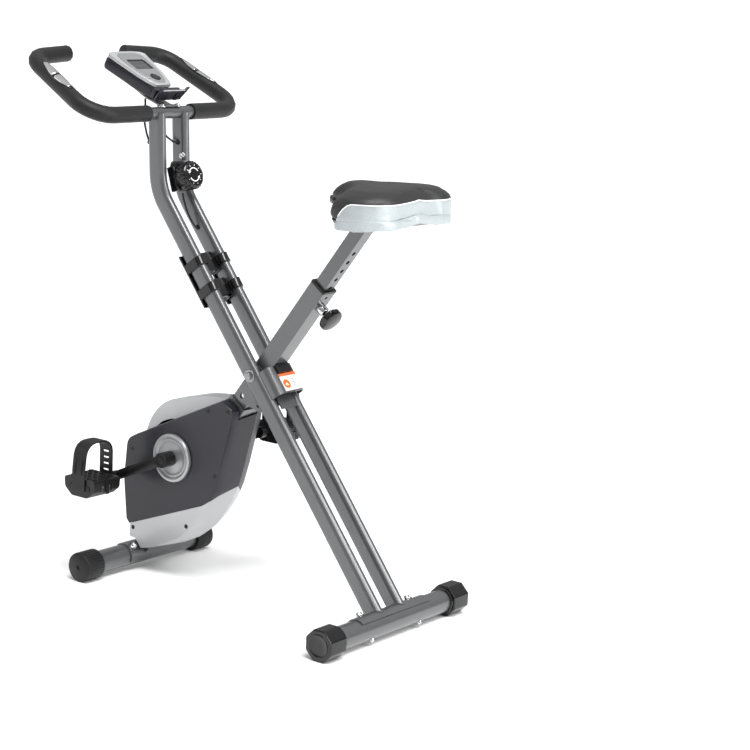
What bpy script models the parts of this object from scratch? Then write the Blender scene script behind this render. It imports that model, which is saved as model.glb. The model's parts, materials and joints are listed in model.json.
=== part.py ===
"""Folding X-frame exercise bike, unfolded for riding.

Two straight frames cross like an X on one pivot bolt. The handlebar frame is a
pair of flat-oval tubes that rise from the wide rear foot to the handlebar. The
seat frame is a square tube that passes between them, from the seat post down
through the drive casing to the front foot.

World axes: +X is forward, the way the rider faces, +Y is the rider's left, +Z
is up. Sizes are in metres. Side-plane points are (x, z) pairs whose x is
measured from the rear foot's axis; place() moves them to the world origin.
"""

import math

import bmesh
import bpy
from mathutils import Matrix, Vector

# ---------------------------------------------------------------- dimensions

ORIGIN_X = 0.406233  # from the rear foot's axis to the middle of the whole bike
GAP = 0.0003  # between pieces that touch

FOOT_Z = 0.031  # height of both foot axes
PIVOT = (0.341, 0.4675)
HANDLEBAR_LEAN = math.radians(38.0)  # of the twin tubes, forward from vertical
SEAT_LEAN = math.radians(-36.8)  # of the seat tube, backward from vertical

TWIN_SPACING = 0.0688  # between the centre lines of the twin tubes
TWIN_WIDTH = 0.041  # across the flat side of a twin tube
TWIN_THICKNESS = 0.020
BEND_DISTANCE = 0.4365  # from the pivot to the bend of the twin tubes
BEND_RADIUS = 0.110
UPPER_LEAN = math.radians(2.8)
UPPER_LENGTH = 0.1534  # from the bend to the handlebar's cross-bar

FOOT_RADIUS = 0.0235
REAR_FOOT_HALF = 0.2197
REAR_CAP_LENGTH = 0.048
FRONT_FOOT_HALF = 0.189
FRONT_TUBE_HALF = 0.141
FOOT_PLATE_THICKNESS = 0.003

BAR_RADIUS = 0.0125
GRIP_RADIUS = 0.0168
BAR_RISE = math.radians(26.7)  # of the handlebar's plane above the horizontal
GRIP_START = 0.062  # bare cross-bar on each side of the middle

BOLT_RADIUS = 0.006
LOCK_RADIUS = 0.062  # from the pivot bolt to both lock holes
LOCK_PIN_RADIUS = 0.005
FOLD_ANGLE = math.radians(44.0)

SEAT_TUBE_WIDTH = 0.038
SEAT_TUBE_WALL = 0.0025
SEAT_TUBE_TOP = 0.240  # from the pivot along the seat tube
SEAT_TUBE_BOTTOM = -0.100
POST_WIDTH = 0.028
POST_WALL = 0.0025
POST_BOTTOM = 0.064
POST_TOP = 0.430
SADDLE_SLOPE = math.radians(12.8)  # of the saddle's underside over the post
POST_PIN_AT = 0.2045
POST_HOLE_PITCH = 0.023

CASING_LEFT = 0.043
CASING_RIGHT = -0.049
CASING_SEAM = -0.022
CASING_WALL = 0.0025
HOOD_LEFT = 0.006
HOOD_RIGHT = -0.041

CRANK = (0.545, 0.263)
CRANK_LENGTH = 0.135
CRANK_ANGLE = math.radians(-24.0)  # of the left arm, from straight ahead
CRANK_AXLE_RADIUS = 0.0085
DISC_RADIUS = 0.051
HUB_RADIUS = 0.016
HUB_END = 0.080  # outer face of both crank hubs, from the middle
ARM_HUB_Y = 0.073  # middle of the arm's thickness at its hub
ARM_END_Y = 0.089  # and at its pedal end
PEDAL_Y = 0.152
PEDAL_HALF = 0.037  # half the pedal's width

PULLEY_Y = -0.029
PULLEY_RADIUS = 0.104
BELT_THICKNESS = 0.0025
BELT_WIDTH = 0.009
DRIVEN_RADIUS = 0.0125
FLYWHEEL_ALONG = 0.4025  # from the pivot down the spine
FLYWHEEL_RADIUS = 0.068
FLYWHEEL_Y = 0.030
MAGNET_HINGE_AT = 56  # degrees round the flywheel, up from straight ahead
MAGNET_SPAN = 52  # degrees of the rim under the magnet bracket

ROUND = 24  # sides of a round piece


# ------------------------------------------------------------------ geometry

def place(x, z, y=0.0):
    """World position of a side-plane point at the lateral distance y."""
    return Vector((x - ORIGIN_X, y, z))


def lean_up(angle):
    """Side-plane direction that leans forward from vertical by angle."""
    return (math.sin(angle), math.cos(angle))


def lean_front(angle):
    """Side-plane direction at right angles to lean_up, on the forward side."""
    return (math.cos(angle), -math.sin(angle))


def offset(start, angle, up, front=0.0):
    """The point up along a leaning line and front of it."""
    a, b = lean_up(angle), lean_front(angle)
    return (start[0] + up * a[0] + front * b[0], start[1] + up * a[1] + front * b[1])


def on_twin(up, front=0.0):
    return offset(PIVOT, HANDLEBAR_LEAN, up, front)


def on_seat(up, front=0.0):
    return offset(PIVOT, SEAT_LEAN, up, front)


REAR_FOOT = on_twin(-(PIVOT[1] - FOOT_Z) / math.cos(HANDLEBAR_LEAN))
FRONT_FOOT = on_seat(-(PIVOT[1] - FOOT_Z) / math.cos(SEAT_LEAN))
BEND = on_twin(BEND_DISTANCE)
CROSS_BAR = offset(BEND, UPPER_LEAN, UPPER_LENGTH)
FLYWHEEL = on_seat(-FLYWHEEL_ALONG)
LOCK_HOLE = on_seat(-LOCK_RADIUS)
MAGNET_HINGE = offset(FLYWHEEL, math.radians(90 - MAGNET_HINGE_AT), FLYWHEEL_RADIUS + 0.0065)


def turned_about_pivot(point, angle):
    """A side-plane point turned about the pivot, forward over the top."""
    x, z = point[0] - PIVOT[0], point[1] - PIVOT[1]
    c, s = math.cos(angle), math.sin(angle)
    return (PIVOT[0] + x * c + z * s, PIVOT[1] - x * s + z * c)


FOLDED_LOCK_HOLE = turned_about_pivot(LOCK_HOLE, FOLD_ANGLE)


def arc(centre, radius, start, end, steps):
    """Points on an arc, angles in degrees, both ends included."""
    points = []
    for i in range(steps + 1):
        a = math.radians(start + (end - start) * i / steps)
        points.append((centre[0] + radius * math.cos(a), centre[1] + radius * math.sin(a)))
    return points


def circle(centre, radius, steps=ROUND):
    return arc(centre, radius, 0, 360 * (steps - 1) / steps, steps - 1)


def filleted(corners, steps=4):
    """Points of an open line whose corners (a, b, radius) are rounded."""
    points = [Vector(corners[0][:2])]
    for before, corner, after in zip(corners, corners[1:], corners[2:]):
        here = Vector(corner[:2])
        back = (Vector(before[:2]) - here).normalized()
        on = (Vector(after[:2]) - here).normalized()
        half = back.angle(on) / 2
        reach = corner[2] / math.tan(half)
        middle = here + (back + on).normalized() * (corner[2] / math.sin(half))
        first, last = here + back * reach - middle, here + on * reach - middle
        sweep = first.angle_signed(last)
        for i in range(steps + 1):
            points.append(middle + Matrix.Rotation(-sweep * i / steps, 2) @ first)
    points.append(Vector(corners[-1][:2]))
    return [tuple(p) for p in points]


def rounded(corners, steps=3):
    """Points of a closed outline whose corners (a, b, radius) are rounded."""
    ring = [corners[-1], *corners, corners[0]]
    return filleted(ring, steps)[1:-1]


def hull(circles, steps=16):
    """Convex outline round several (centre, radius) circles."""
    points = sorted({p for centre, radius in circles for p in circle(centre, radius, steps)})

    def half(run):
        kept = []
        for p in run:
            while len(kept) > 1 and (
                (kept[-1][0] - kept[-2][0]) * (p[1] - kept[-2][1])
                - (kept[-1][1] - kept[-2][1]) * (p[0] - kept[-2][0])
            ) <= 1e-9:
                kept.pop()
            kept.append(p)
        return kept[:-1]

    return half(points) + half(points[::-1])


def inset(outline, distance):
    """A counter-clockwise outline moved inwards by distance."""
    result = []
    for i, point in enumerate(outline):
        here = Vector(point)
        before, after = Vector(outline[i - 1]), Vector(outline[(i + 1) % len(outline)])
        d1, d2 = (here - before).normalized(), (after - here).normalized()
        n1, n2 = Vector((-d1.y, d1.x)), Vector((-d2.y, d2.x))
        shift = (n1 + n2) / (1 + n1.dot(n2))
        result.append(tuple(here + shift * distance))
    return result


# ------------------------------------------------------------ scene building

for old in list(bpy.data.objects):
    bpy.data.objects.remove(old, do_unlink=True)

PARTS = bpy.data.collections.new("folding_exercise_bike")
CUTTERS = bpy.data.collections.new("cutters")
for group in (PARTS, CUTTERS):
    bpy.context.scene.collection.children.link(group)
CUTTERS.hide_render = True


def material(name, colour, roughness, metallic=0.0):
    made = bpy.data.materials.new(name)
    made.use_nodes = True
    shader = made.node_tree.nodes["Principled BSDF"]
    shader.inputs["Base Color"].default_value = (*colour, 1.0)
    shader.inputs["Roughness"].default_value = roughness
    shader.inputs["Metallic"].default_value = metallic
    return made


GREY_PAINT = material("grey_paint", (0.20, 0.20, 0.21), 0.35, 0.6)
CHROME = material("chrome", (0.75, 0.75, 0.76), 0.12, 1.0)
STEEL = material("steel", (0.45, 0.45, 0.46), 0.4, 1.0)
CAST_IRON = material("cast_iron", (0.10, 0.10, 0.10), 0.6, 0.8)
DARK_PLASTIC = material("dark_plastic", (0.055, 0.052, 0.068), 0.45)
PALE_PLASTIC = material("pale_plastic", (0.62, 0.62, 0.62), 0.4)
BLACK_PLASTIC = material("black_plastic", (0.012, 0.012, 0.012), 0.5)
FOAM = material("black_foam", (0.015, 0.015, 0.015), 0.9)
RUBBER = material("black_rubber", (0.012, 0.012, 0.012), 0.8)
VINYL = material("black_vinyl", (0.03, 0.03, 0.03), 0.5)
LCD = material("lcd_glass", (0.05, 0.06, 0.05), 0.1)


def empty(name, location):
    made = bpy.data.objects.new(name, None)
    made.location = location
    PARTS.objects.link(made)
    return made


AXES = {
    "seat_frame": empty("seat_frame_axis", place(*FRONT_FOOT)),
    "handlebar_frame": empty("fold_axis", place(*PIVOT)),
    "seat_slide": empty("seat_slide", place(*on_seat(POST_BOTTOM))),
    "crank": empty("crank_axis", place(*CRANK)),
    "flywheel": empty("flywheel_axis", place(*FLYWHEEL)),
    "magnet": empty("magnet_hinge", place(*MAGNET_HINGE, y=FLYWHEEL_Y)),
}


def add(name, data, paint, body, matrix=None):
    """Makes a part's object, parented to its body's empty."""
    made = bpy.data.objects.new(name, data)
    data.materials.clear()
    data.materials.append(paint)
    PARTS.objects.link(made)
    if matrix is not None:
        made.matrix_world = matrix
    if body is not None:
        bpy.context.view_layer.update()
        made.parent = AXES[body]
        made.matrix_parent_inverse = AXES[body].matrix_world.inverted()
    return made


def mesh_from(build):
    """A mesh made by build(bm) with bmesh."""
    bm = bmesh.new()
    build(bm)
    bmesh.ops.recalc_face_normals(bm, faces=bm.faces)
    mesh = bpy.data.meshes.new("shape")
    bm.to_mesh(mesh)
    bm.free()
    mesh.shade_smooth()
    mesh.set_sharp_from_angle(angle=math.radians(35))
    return mesh


def turn(location, direction):
    """Matrix that puts local Z along direction, at location."""
    aim = Vector(direction).to_track_quat("Z", "Y").to_matrix().to_4x4()
    return Matrix.Translation(location) @ aim


def leaning(location, angle):
    """Matrix that leans local Z forward from vertical by angle."""
    return Matrix.Translation(location) @ Matrix.Rotation(angle, 4, "Y")


def box(name, size, matrix, paint, body, bevel=0.0):
    def build(bm):
        bmesh.ops.create_cube(bm, size=1.0, matrix=Matrix.Diagonal((*size, 1.0)))

    made = add(name, mesh_from(build), paint, body, matrix)
    if bevel:
        soften(made, bevel)
    return made


def soften(made, width, segments=2):
    edge = made.modifiers.new("edges", "BEVEL")
    edge.width = width
    edge.segments = segments
    edge.limit_method = "ANGLE"
    edge.angle_limit = math.radians(40)


def cylinder(name, radius, length, matrix, paint, body, sides=ROUND):
    """A cylinder centred on matrix, its axis along local Z."""
    def build(bm):
        bmesh.ops.create_cone(
            bm, cap_ends=True, segments=sides, radius1=radius, radius2=radius, depth=length
        )

    return add(name, mesh_from(build), paint, body, matrix)


def across(point, y0, y1):
    """Matrix in the middle of a crosswise span, local Z along +Y."""
    return turn(place(*point, y=(y0 + y1) / 2), (0, 1, 0))


def cross_cylinder(name, radius, point, y0, y1, paint, body, sides=ROUND):
    return cylinder(name, radius, abs(y1 - y0), across(point, y0, y1), paint, body, sides)


def turned(name, profile, matrix, paint, body, steps=ROUND, closed=False):
    """Profile of (radius, height), down the outer side, turned about local Z."""
    mesh = bpy.data.meshes.new(name)
    last = len(profile) if closed else len(profile) - 1
    edges = [(i, (i + 1) % len(profile)) for i in range(last)]
    mesh.from_pydata([(r, 0.0, h) for r, h in profile], edges, [])
    made = add(name, mesh, paint, body, matrix)
    screw = made.modifiers.new("turn", "SCREW")
    screw.steps = screw.render_steps = steps
    screw.use_merge_vertices = True
    screw.merge_threshold = 0.00001
    screw.use_smooth_shade = True
    return made


def ring_profile(outer, inner, half):
    return [(inner, half), (outer, half), (outer, -half), (inner, -half)]


def flat(name, outlines, thickness, matrix, paint, body):
    """Outline and holes in local XY, thickness along local Z, centred."""
    curve = bpy.data.curves.new(name, "CURVE")
    curve.dimensions = "2D"
    curve.fill_mode = "BOTH"
    curve.extrude = thickness / 2
    for outline in outlines:
        spline = curve.splines.new("POLY")
        spline.points.add(len(outline) - 1)
        for point, (a, b) in zip(spline.points, outline):
            point.co = (a, b, 0.0, 1.0)
        spline.use_cyclic_u = True
    return add(name, curve, paint, body, matrix)


def side_plate(name, outlines, y0, y1, paint, body):
    """A flat plate parallel to the side plane, from side-plane outlines."""
    stand = Matrix.Translation(place(0, 0, (y0 + y1) / 2)) @ Matrix.Rotation(math.pi / 2, 4, "X")
    return flat(name, outlines, abs(y1 - y0), stand, paint, body)


def tube(name, points, radius, paint, body, resolution=2):
    """A round tube along world points."""
    start = points[0]
    curve = bpy.data.curves.new(name, "CURVE")
    curve.dimensions = "3D"
    curve.bevel_depth = radius
    curve.bevel_resolution = resolution
    curve.use_fill_caps = True
    spline = curve.splines.new("POLY")
    spline.points.add(len(points) - 1)
    for point, place_at in zip(spline.points, points):
        point.co = (*(place_at - start), 1.0)
    return add(name, curve, paint, body, Matrix.Translation(start))


def as_mesh(made):
    """Replaces a curve object by a mesh object of the same name and place."""
    bpy.context.view_layer.update()
    graph = bpy.context.evaluated_depsgraph_get()
    mesh = bpy.data.meshes.new_from_object(made.evaluated_get(graph))
    bm = bmesh.new()
    bm.from_mesh(mesh)
    bmesh.ops.remove_doubles(bm, verts=bm.verts, dist=0.00001)
    bmesh.ops.recalc_face_normals(bm, faces=bm.faces)
    bm.to_mesh(mesh)
    bm.free()
    name, paint, parent = made.name, made.data.materials[0], made.parent
    where, inverse = made.matrix_world.copy(), made.matrix_parent_inverse.copy()
    bpy.data.objects.remove(made, do_unlink=True)
    new = bpy.data.objects.new(name, mesh)
    mesh.materials.clear()
    mesh.materials.append(paint)
    mesh.shade_smooth()
    mesh.set_sharp_from_angle(angle=math.radians(35))
    PARTS.objects.link(new)
    new.parent = parent
    new.matrix_parent_inverse = inverse
    new.matrix_world = where
    return new


def combine(made, operation, *tools):
    """Cuts tools from a mesh, joins them to it, or keeps what they share."""
    for tool in tools:
        if tool.type != "MESH":
            tool = as_mesh(tool)
        for group in list(tool.users_collection):
            group.objects.unlink(tool)
        CUTTERS.objects.link(tool)
        tool.hide_render = True
        tool.display_type = "WIRE"
        step = made.modifiers.new(operation.lower(), "BOOLEAN")
        step.operation = operation
        step.solver = "EXACT"
        step.object = tool
    return made


def cut(made, *tools):
    return combine(made, "DIFFERENCE", *tools)


def join(made, *tools):
    return combine(made, "UNION", *tools)


def drill(made, radius, point, y0, y1, sides=ROUND):
    """A crosswise round hole."""
    return cut(made, cross_cylinder(made.name + "_drill", radius, point, y0, y1, STEEL, None, sides))


# ----------------------------------------------------------- handlebar frame

BODY = "handlebar_frame"


def twin_tube(name, side):
    """One bent flat-oval tube, notched over the foot and under the cross-bar."""
    half = TWIN_THICKNESS / 2
    flat_half = TWIN_WIDTH / 2 - half
    profile = bpy.data.curves.new("flat_oval", "CURVE")
    profile.dimensions = "2D"
    ends = arc((flat_half, 0), half, -90, 90, 5) + arc((-flat_half, 0), half, 90, 270, 5)
    outline = profile.splines.new("POLY")
    outline.points.add(len(ends) - 1)
    for point, (a, b) in zip(outline.points, ends):
        point.co = (a, b, 0.0, 1.0)
    outline.use_cyclic_u = True
    section = bpy.data.objects.new("flat_oval", profile)
    section.hide_render = True
    CUTTERS.objects.link(section)

    foot_end = offset(REAR_FOOT, HANDLEBAR_LEAN, 0.012)
    run = filleted([(*foot_end, 0), (*BEND, BEND_RADIUS), (*CROSS_BAR, 0)], steps=8)
    curve = bpy.data.curves.new(name, "CURVE")
    curve.dimensions = "2D"
    curve.bevel_mode = "OBJECT"
    curve.bevel_object = section
    curve.use_fill_caps = True
    line = curve.splines.new("POLY")
    line.points.add(len(run) - 1)
    for point, (x, z) in zip(line.points, run):
        point.co = (x, z, 0.0, 1.0)
    stand = Matrix.Translation(place(0, 0, side * TWIN_SPACING / 2))
    stand = stand @ Matrix.Rotation(math.pi / 2, 4, "X")
    made = as_mesh(add(name, curve, GREY_PAINT, BODY, stand))
    y0, y1 = side * 0.010, side * 0.060
    plate_radius = FOOT_RADIUS + FOOT_PLATE_THICKNESS + 2 * GAP
    drill(made, plate_radius, REAR_FOOT, y0, y1, 32)
    drill(made, BAR_RADIUS + GAP, CROSS_BAR, y0, y1)
    drill(made, BOLT_RADIUS + GAP, PIVOT, y0, y1, 16)
    return made


def rear_foot():
    foot = cross_cylinder(
        "rear_foot_tube", FOOT_RADIUS, REAR_FOOT, -0.211, 0.211, GREY_PAINT, BODY, 32
    )
    bore = cross_cylinder(
        "rear_foot_bore", FOOT_RADIUS - 0.002, REAR_FOOT, -0.3, 0.3, STEEL, None
    )
    cut(foot, bore)

    # The plate is a half shell on top of the tube, leaning with the twin tubes.
    inner, outer = FOOT_RADIUS + GAP, FOOT_RADIUS + FOOT_PLATE_THICKNESS
    top = 90 - math.degrees(HANDLEBAR_LEAN)
    outline = arc(REAR_FOOT, outer, top - 78, top + 78, 14)
    outline += arc(REAR_FOOT, inner, top + 78, top - 78, 14)
    side_plate("rear_foot_plate", [outline], -0.107, 0.107, GREY_PAINT, BODY)

    for name, side in (("rear_foot_cap_left", 1), ("rear_foot_cap_right", -1)):
        end, start = side * REAR_FOOT_HALF, side * (REAR_FOOT_HALF - REAR_CAP_LENGTH)
        middle = turn(place(*REAR_FOOT, y=(end + start) / 2), (0, side, 0))
        middle = middle @ Matrix.Rotation(math.pi / 8, 4, "Z")
        length = REAR_CAP_LENGTH
        flat_radius = FOOT_Z / math.cos(math.pi / 8)
        cap = cylinder(name, flat_radius, length, middle, RUBBER, BODY, sides=8)
        soften(cap, 0.003)
        pocket = cross_cylinder(
            name + "_pocket", FOOT_RADIUS + GAP, REAR_FOOT, start - side * 0.01,
            side * (0.211 + GAP), STEEL, None, 32,
        )
        cut(cap, pocket)


def handlebar_path(side, first, last):
    """World points along one side of the handlebar between two distances."""
    corners = [(0.0, -0.01, 0), (0.0, 0.217, 0.055), (0.226, 0.192, 0.046), (0.238, 0.082, 0)]
    line = filleted([(b, a, r) for a, b, r in corners], steps=6)
    points, travelled = [], -0.01
    for one, two in zip(line, line[1:]):
        length = math.dist(one, two)
        for here, point in ((travelled, one), (travelled + length, two)):
            if first <= here <= last and (not points or math.dist(points[-1], point) > 1e-6):
                points.append(point)
        for mark in (first, last):
            if travelled < mark < travelled + length:
                t = (mark - travelled) / length
                cutoff = (one[0] + t * (two[0] - one[0]), one[1] + t * (two[1] - one[1]))
                points.append(cutoff) if mark == last else points.insert(0, cutoff)
        travelled += length
    rise = (math.cos(BAR_RISE), math.sin(BAR_RISE))
    return [
        place(CROSS_BAR[0] + a * rise[0], CROSS_BAR[1] + a * rise[1], side * b)
        for b, a in points
    ]


BAR_LENGTH = 0.560  # of one side's centre line, from the middle to the tip


def whole_bar(length):
    """World points along the whole handlebar, from left tip to right tip."""
    left, right = (handlebar_path(side, 0.001, length) for side in (1, -1))
    return left[::-1] + right


def handlebar():
    tube("handlebar_tube", whole_bar(BAR_LENGTH), BAR_RADIUS, GREY_PAINT, BODY, 4)
    for name, side in (("left_grip", 1), ("right_grip", -1)):
        run = handlebar_path(side, GRIP_START, BAR_LENGTH + 0.004)
        grip = as_mesh(tube(name, run, GRIP_RADIUS, FOAM, BODY, 4))
        bore = whole_bar(BAR_LENGTH + 0.0004)
        cut(grip, tube(name + "_bore", bore, BAR_RADIUS + GAP, STEEL, None, 4))


def console():
    """Console on a strip above the cross-bar, its face along the bar's rise."""
    heel = (0.616, 1.004)
    rise = math.pi / 2 - math.radians(27.6)
    face = Matrix.Translation(place(*heel)) @ Matrix.Rotation(-math.radians(27.6), 4, "Y")

    def spread(scale, near, far):
        half = [(near, 0.0215), (0.037, 0.030), (0.062, 0.0385), (0.090, 0.044), (0.120, 0.050)]
        half += [(0.141, 0.0535), (0.149, 0.046), (far, 0.0)]
        half = [(a, b * scale) for a, b in half]
        return half + [(a, -b) for a, b in half[-2::-1]]

    housing = flat(
        "console_housing", [spread(1.0, 0.020, 0.155)], 0.026,
        face @ Matrix.Translation((0, 0, -0.0135)), DARK_PLASTIC, BODY,
    )
    housing = as_mesh(housing)
    soften(housing, 0.006)
    bezel = flat(
        "console_bezel", [spread(0.97, 0.022, 0.152)], 0.006,
        face @ Matrix.Translation((0, 0, 0.003 + GAP)), PALE_PLASTIC, BODY,
    )
    bezel = as_mesh(bezel)
    window = box(
        "window_cut", (0.034, 0.048, 0.02), face @ Matrix.Translation((0.100, 0, 0.0115)),
        LCD, None,
    )
    button_hole = cylinder(
        "button_hole", 0.0093, 0.02, face @ Matrix.Translation((0.050, 0, 0.0030)), LCD, None
    )
    cut(bezel, window, button_hole)
    box(
        "lcd_window", (0.0334, 0.0474, 0.004), face @ Matrix.Translation((0.100, 0, 0.0038)),
        LCD, BODY,
    )
    cylinder(
        "console_button", 0.009, 0.0055, face @ Matrix.Translation((0.050, 0, 0.0058)),
        PALE_PLASTIC, BODY,
    )
    sill = face @ Matrix.Translation((0.010, 0, -0.006))
    ledge = box("tablet_ledge", (0.010, 0.074, 0.020), sill, DARK_PLASTIC, BODY)
    hook = [(0.014, -0.015), (0.014, 0.006), (0.004, 0.011), (-0.004, 0.022), (-0.0085, 0.021)]
    hook += [(-0.006, 0.008), (0.000, -0.004), (0.002, -0.015)]
    for across_at in (-0.0345, -0.012, 0.012, 0.0345):
        stand = face @ Matrix.Translation((0, across_at, 0)) @ Matrix.Rotation(math.pi / 2, 4, "X")
        join(ledge, flat("ledge_rib", [hook[::-1]], 0.005, stand, STEEL, None))

    strip_top = (heel[0] + 0.045 * math.sin(rise), heel[1] + 0.045 * math.cos(rise))
    foot = (CROSS_BAR[0] + 0.004, CROSS_BAR[1] + BAR_RADIUS + 0.0020)
    top = (strip_top[0] + 0.0125, strip_top[1] - 0.0315)
    thick = 0.0016
    strip = [
        (foot[0] - 0.014, foot[1] - thick), (foot[0] + 0.008, foot[1] - thick),
        (top[0] + thick, top[1] - thick), (top[0] + 0.045, top[1] + 0.0225 - thick),
        (top[0] + 0.045 - thick, top[1] + 0.0225 + thick), (top[0], top[1] + thick),
        (foot[0] + 0.006, foot[1] + thick), (foot[0] - 0.014, foot[1] + thick),
    ]
    side_plate("console_bracket", [strip], -0.017, 0.017, GREY_PAINT, BODY)


def tension_control():
    box_at = (0.5870, 0.8330)
    stand = leaning(place(*box_at, y=-0.003), math.radians(18))
    box("tension_box", (0.021, 0.042, 0.052), stand, BLACK_PLASTIC, BODY, 0.003)
    aim = (-math.cos(math.radians(18)), 0, math.sin(math.radians(18)))
    front = place(box_at[0] - 0.0110, box_at[1] + 0.0036, -0.008)
    profile = [(0.0, 0.0265), (0.0245, 0.0265), (0.0275, 0.0240), (0.0285, 0.0060)]
    profile += [(0.0285, GAP), (0.0, GAP)]
    turned("tension_dial", profile, turn(front, aim), BLACK_PLASTIC, BODY)


def bottle_holder():
    """Two rails and two cradle bands on the front of the twin tubes, clipped on."""
    low, high, back = 0.170, 0.290, TWIN_WIDTH / 2 + 0.0006
    front = back + 0.0035
    stand = leaning(place(*PIVOT), HANDLEBAR_LEAN)
    middle, length = (low + high) / 2, high - low
    rails = []
    for side in (1, -1):
        where = stand @ Matrix.Translation(((back + front) / 2, side * 0.035, middle))
        name = "bottle_holder" if side > 0 else "holder_rail"
        body = BODY if side > 0 else None
        rails.append(box(name, (front - back, 0.022, length), where, BLACK_PLASTIC, body))
    holder = rails[0]
    join(holder, rails[1])
    cradle = [(front, 0.030), (front, 0.0205)] + arc((0.0195, 0.0), 0.0208, 80, 280, 12)
    cradle += [(front, -0.0205), (front, -0.030), (back, -0.030)]
    cradle += arc((0.0195, 0.0), 0.0238, 275, 85, 12) + [(back, 0.030)]
    for up in (0.194, 0.258):
        lying = stand @ Matrix.Translation((0, 0, up))
        join(holder, flat("holder_band", [cradle], 0.034, lying, STEEL, None))

    reach, thick = 0.0005, 0.0025
    half, flat_half = TWIN_THICKNESS / 2, TWIN_WIDTH / 2 - TWIN_THICKNESS / 2
    for side, tube_name in ((1, "left"), (-1, "right")):
        for level, up in (("upper", 0.257), ("lower", 0.197)):
            lying = stand @ Matrix.Translation((0, side * TWIN_SPACING / 2, up))
            inner, outer = half + reach, half + reach + thick
            front_end = TWIN_WIDTH / 2 - 0.0006
            line = [(front_end, side * outer)] + arc((-flat_half, 0), outer, side * 90, side * 270, 8)
            line += [(0.0, -side * outer), (0.0, -side * inner)]
            line += arc((-flat_half, 0), inner, side * 270, side * 90, 8)
            line += [(front_end, side * inner)]
            name = "holder_clip_%s_%s" % (level, tube_name)
            flat(name, [line], 0.020, lying, BLACK_PLASTIC, BODY)


def latch_bracket():
    """Bent sheet behind the twin tubes, its rubber stop and the cross plate."""
    back, rear = -TWIN_WIDTH / 2 - GAP, -0.046
    low, high, stop_low = -0.067, -0.006, -0.0250
    stand = leaning(place(*PIVOT), HANDLEBAR_LEAN)
    wall = 0.0025
    outer = [(back, 0.040, 0), (rear, 0.040, 0.016), (rear, -0.040, 0.016), (back, -0.040, 0)]
    inner = [(back, -0.040 + wall, 0), (rear + wall, -0.040 + wall, 0.0135)]
    inner += [(rear + wall, 0.040 - wall, 0.0135), (back, 0.040 - wall, 0)]
    lying = stand @ Matrix.Translation((0, 0, (low + high) / 2))
    section = filleted(outer) + filleted(inner)
    bracket = flat("latch_bracket", [section], high - low, lying, GREY_PAINT, BODY)
    notch_at = stand @ Matrix.Translation((rear, 0, stop_low + 0.03))
    cut(as_mesh(bracket), box("stop_notch", (0.02, 0.0412, 0.06), notch_at, STEEL, None))

    # The stop's top follows the underside of the seat tube, which rests on it.
    turned_by = SEAT_LEAN - HANDLEBAR_LEAN
    slope = math.tan(math.pi / 2 + turned_by)
    height = SEAT_TUBE_WIDTH / 2 / math.sin(-turned_by) + 0.0006

    def top(front):
        return -height - slope * front

    stop_low += GAP
    line = [(-0.0300, stop_low), (-0.0300, top(-0.0300))]
    line += [(-0.0520, top(-0.0520)), (-0.0530, stop_low)]
    upright = stand @ Matrix.Rotation(math.pi / 2, 4, "X")
    flat("rubber_stop", [line[::-1]], 0.0400, upright, RUBBER, BODY)


def fold_plate():
    """Left plate with the two lock holes, and the web between the twin tubes."""
    web_at = on_twin(-0.072, -0.0110)
    outline = hull([
        (PIVOT, 0.018), (LOCK_HOLE, 0.0125), (FOLDED_LOCK_HOLE, 0.0125), (web_at, 0.008)
    ])
    holes = [circle(PIVOT, BOLT_RADIUS + GAP, 16)]
    holes += [circle(point, LOCK_PIN_RADIUS + 0.0004, 16) for point in (LOCK_HOLE, FOLDED_LOCK_HOLE)]
    plate = as_mesh(side_plate("fold_plate", [outline, *holes], 0.0213, 0.0241, GREY_PAINT, BODY))
    web_y0, web_y1 = -0.0241, 0.0227
    middle = leaning(place(*on_twin(-0.073, -0.0176), (web_y0 + web_y1) / 2), HANDLEBAR_LEAN)
    join(plate, box("cross_web", (0.0028, web_y1 - web_y0, 0.032), middle, STEEL, None))


def pivot_bolt():
    """Bolt through both twin tubes and the seat tube, with head, washer and nut."""
    outer = TWIN_SPACING / 2 + TWIN_THICKNESS / 2 + GAP
    profile = [(0.0, outer + 0.0095), (0.0060, outer + 0.0090), (0.0080, outer + 0.0070)]
    profile += [(0.0080, outer + 0.0022), (0.0125, outer + 0.0022), (0.0135, outer + 0.0012)]
    profile += [(0.0135, outer)]
    profile += [(BOLT_RADIUS, outer), (BOLT_RADIUS, -outer), (0.0135, -outer)]
    profile += [(0.0135, -outer - 0.0018), (0.0105, -outer - 0.0018)]
    profile += [(0.0105, -outer - 0.009), (0.0, -outer - 0.009)]
    turned("pivot_bolt", profile, turn(place(*PIVOT), (0, 1, 0)), CHROME, BODY, 16)


def curve_through(marks, steps):
    """Smooth run of points through the marks (Catmull-Rom)."""
    points = [Vector(m) for m in marks]
    points = [2 * points[0] - points[1], *points, 2 * points[-1] - points[-2]]
    run = []
    for a, b, c, d in zip(points, points[1:], points[2:], points[3:]):
        for i in range(steps):
            t = i / steps
            run.append(
                0.5 * (2 * b + (c - a) * t + (2 * a - 5 * b + 4 * c - d) * t**2
                       + (3 * b - a - 3 * c + d) * t**3)
            )
    run.append(points[-2])
    return run


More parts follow.
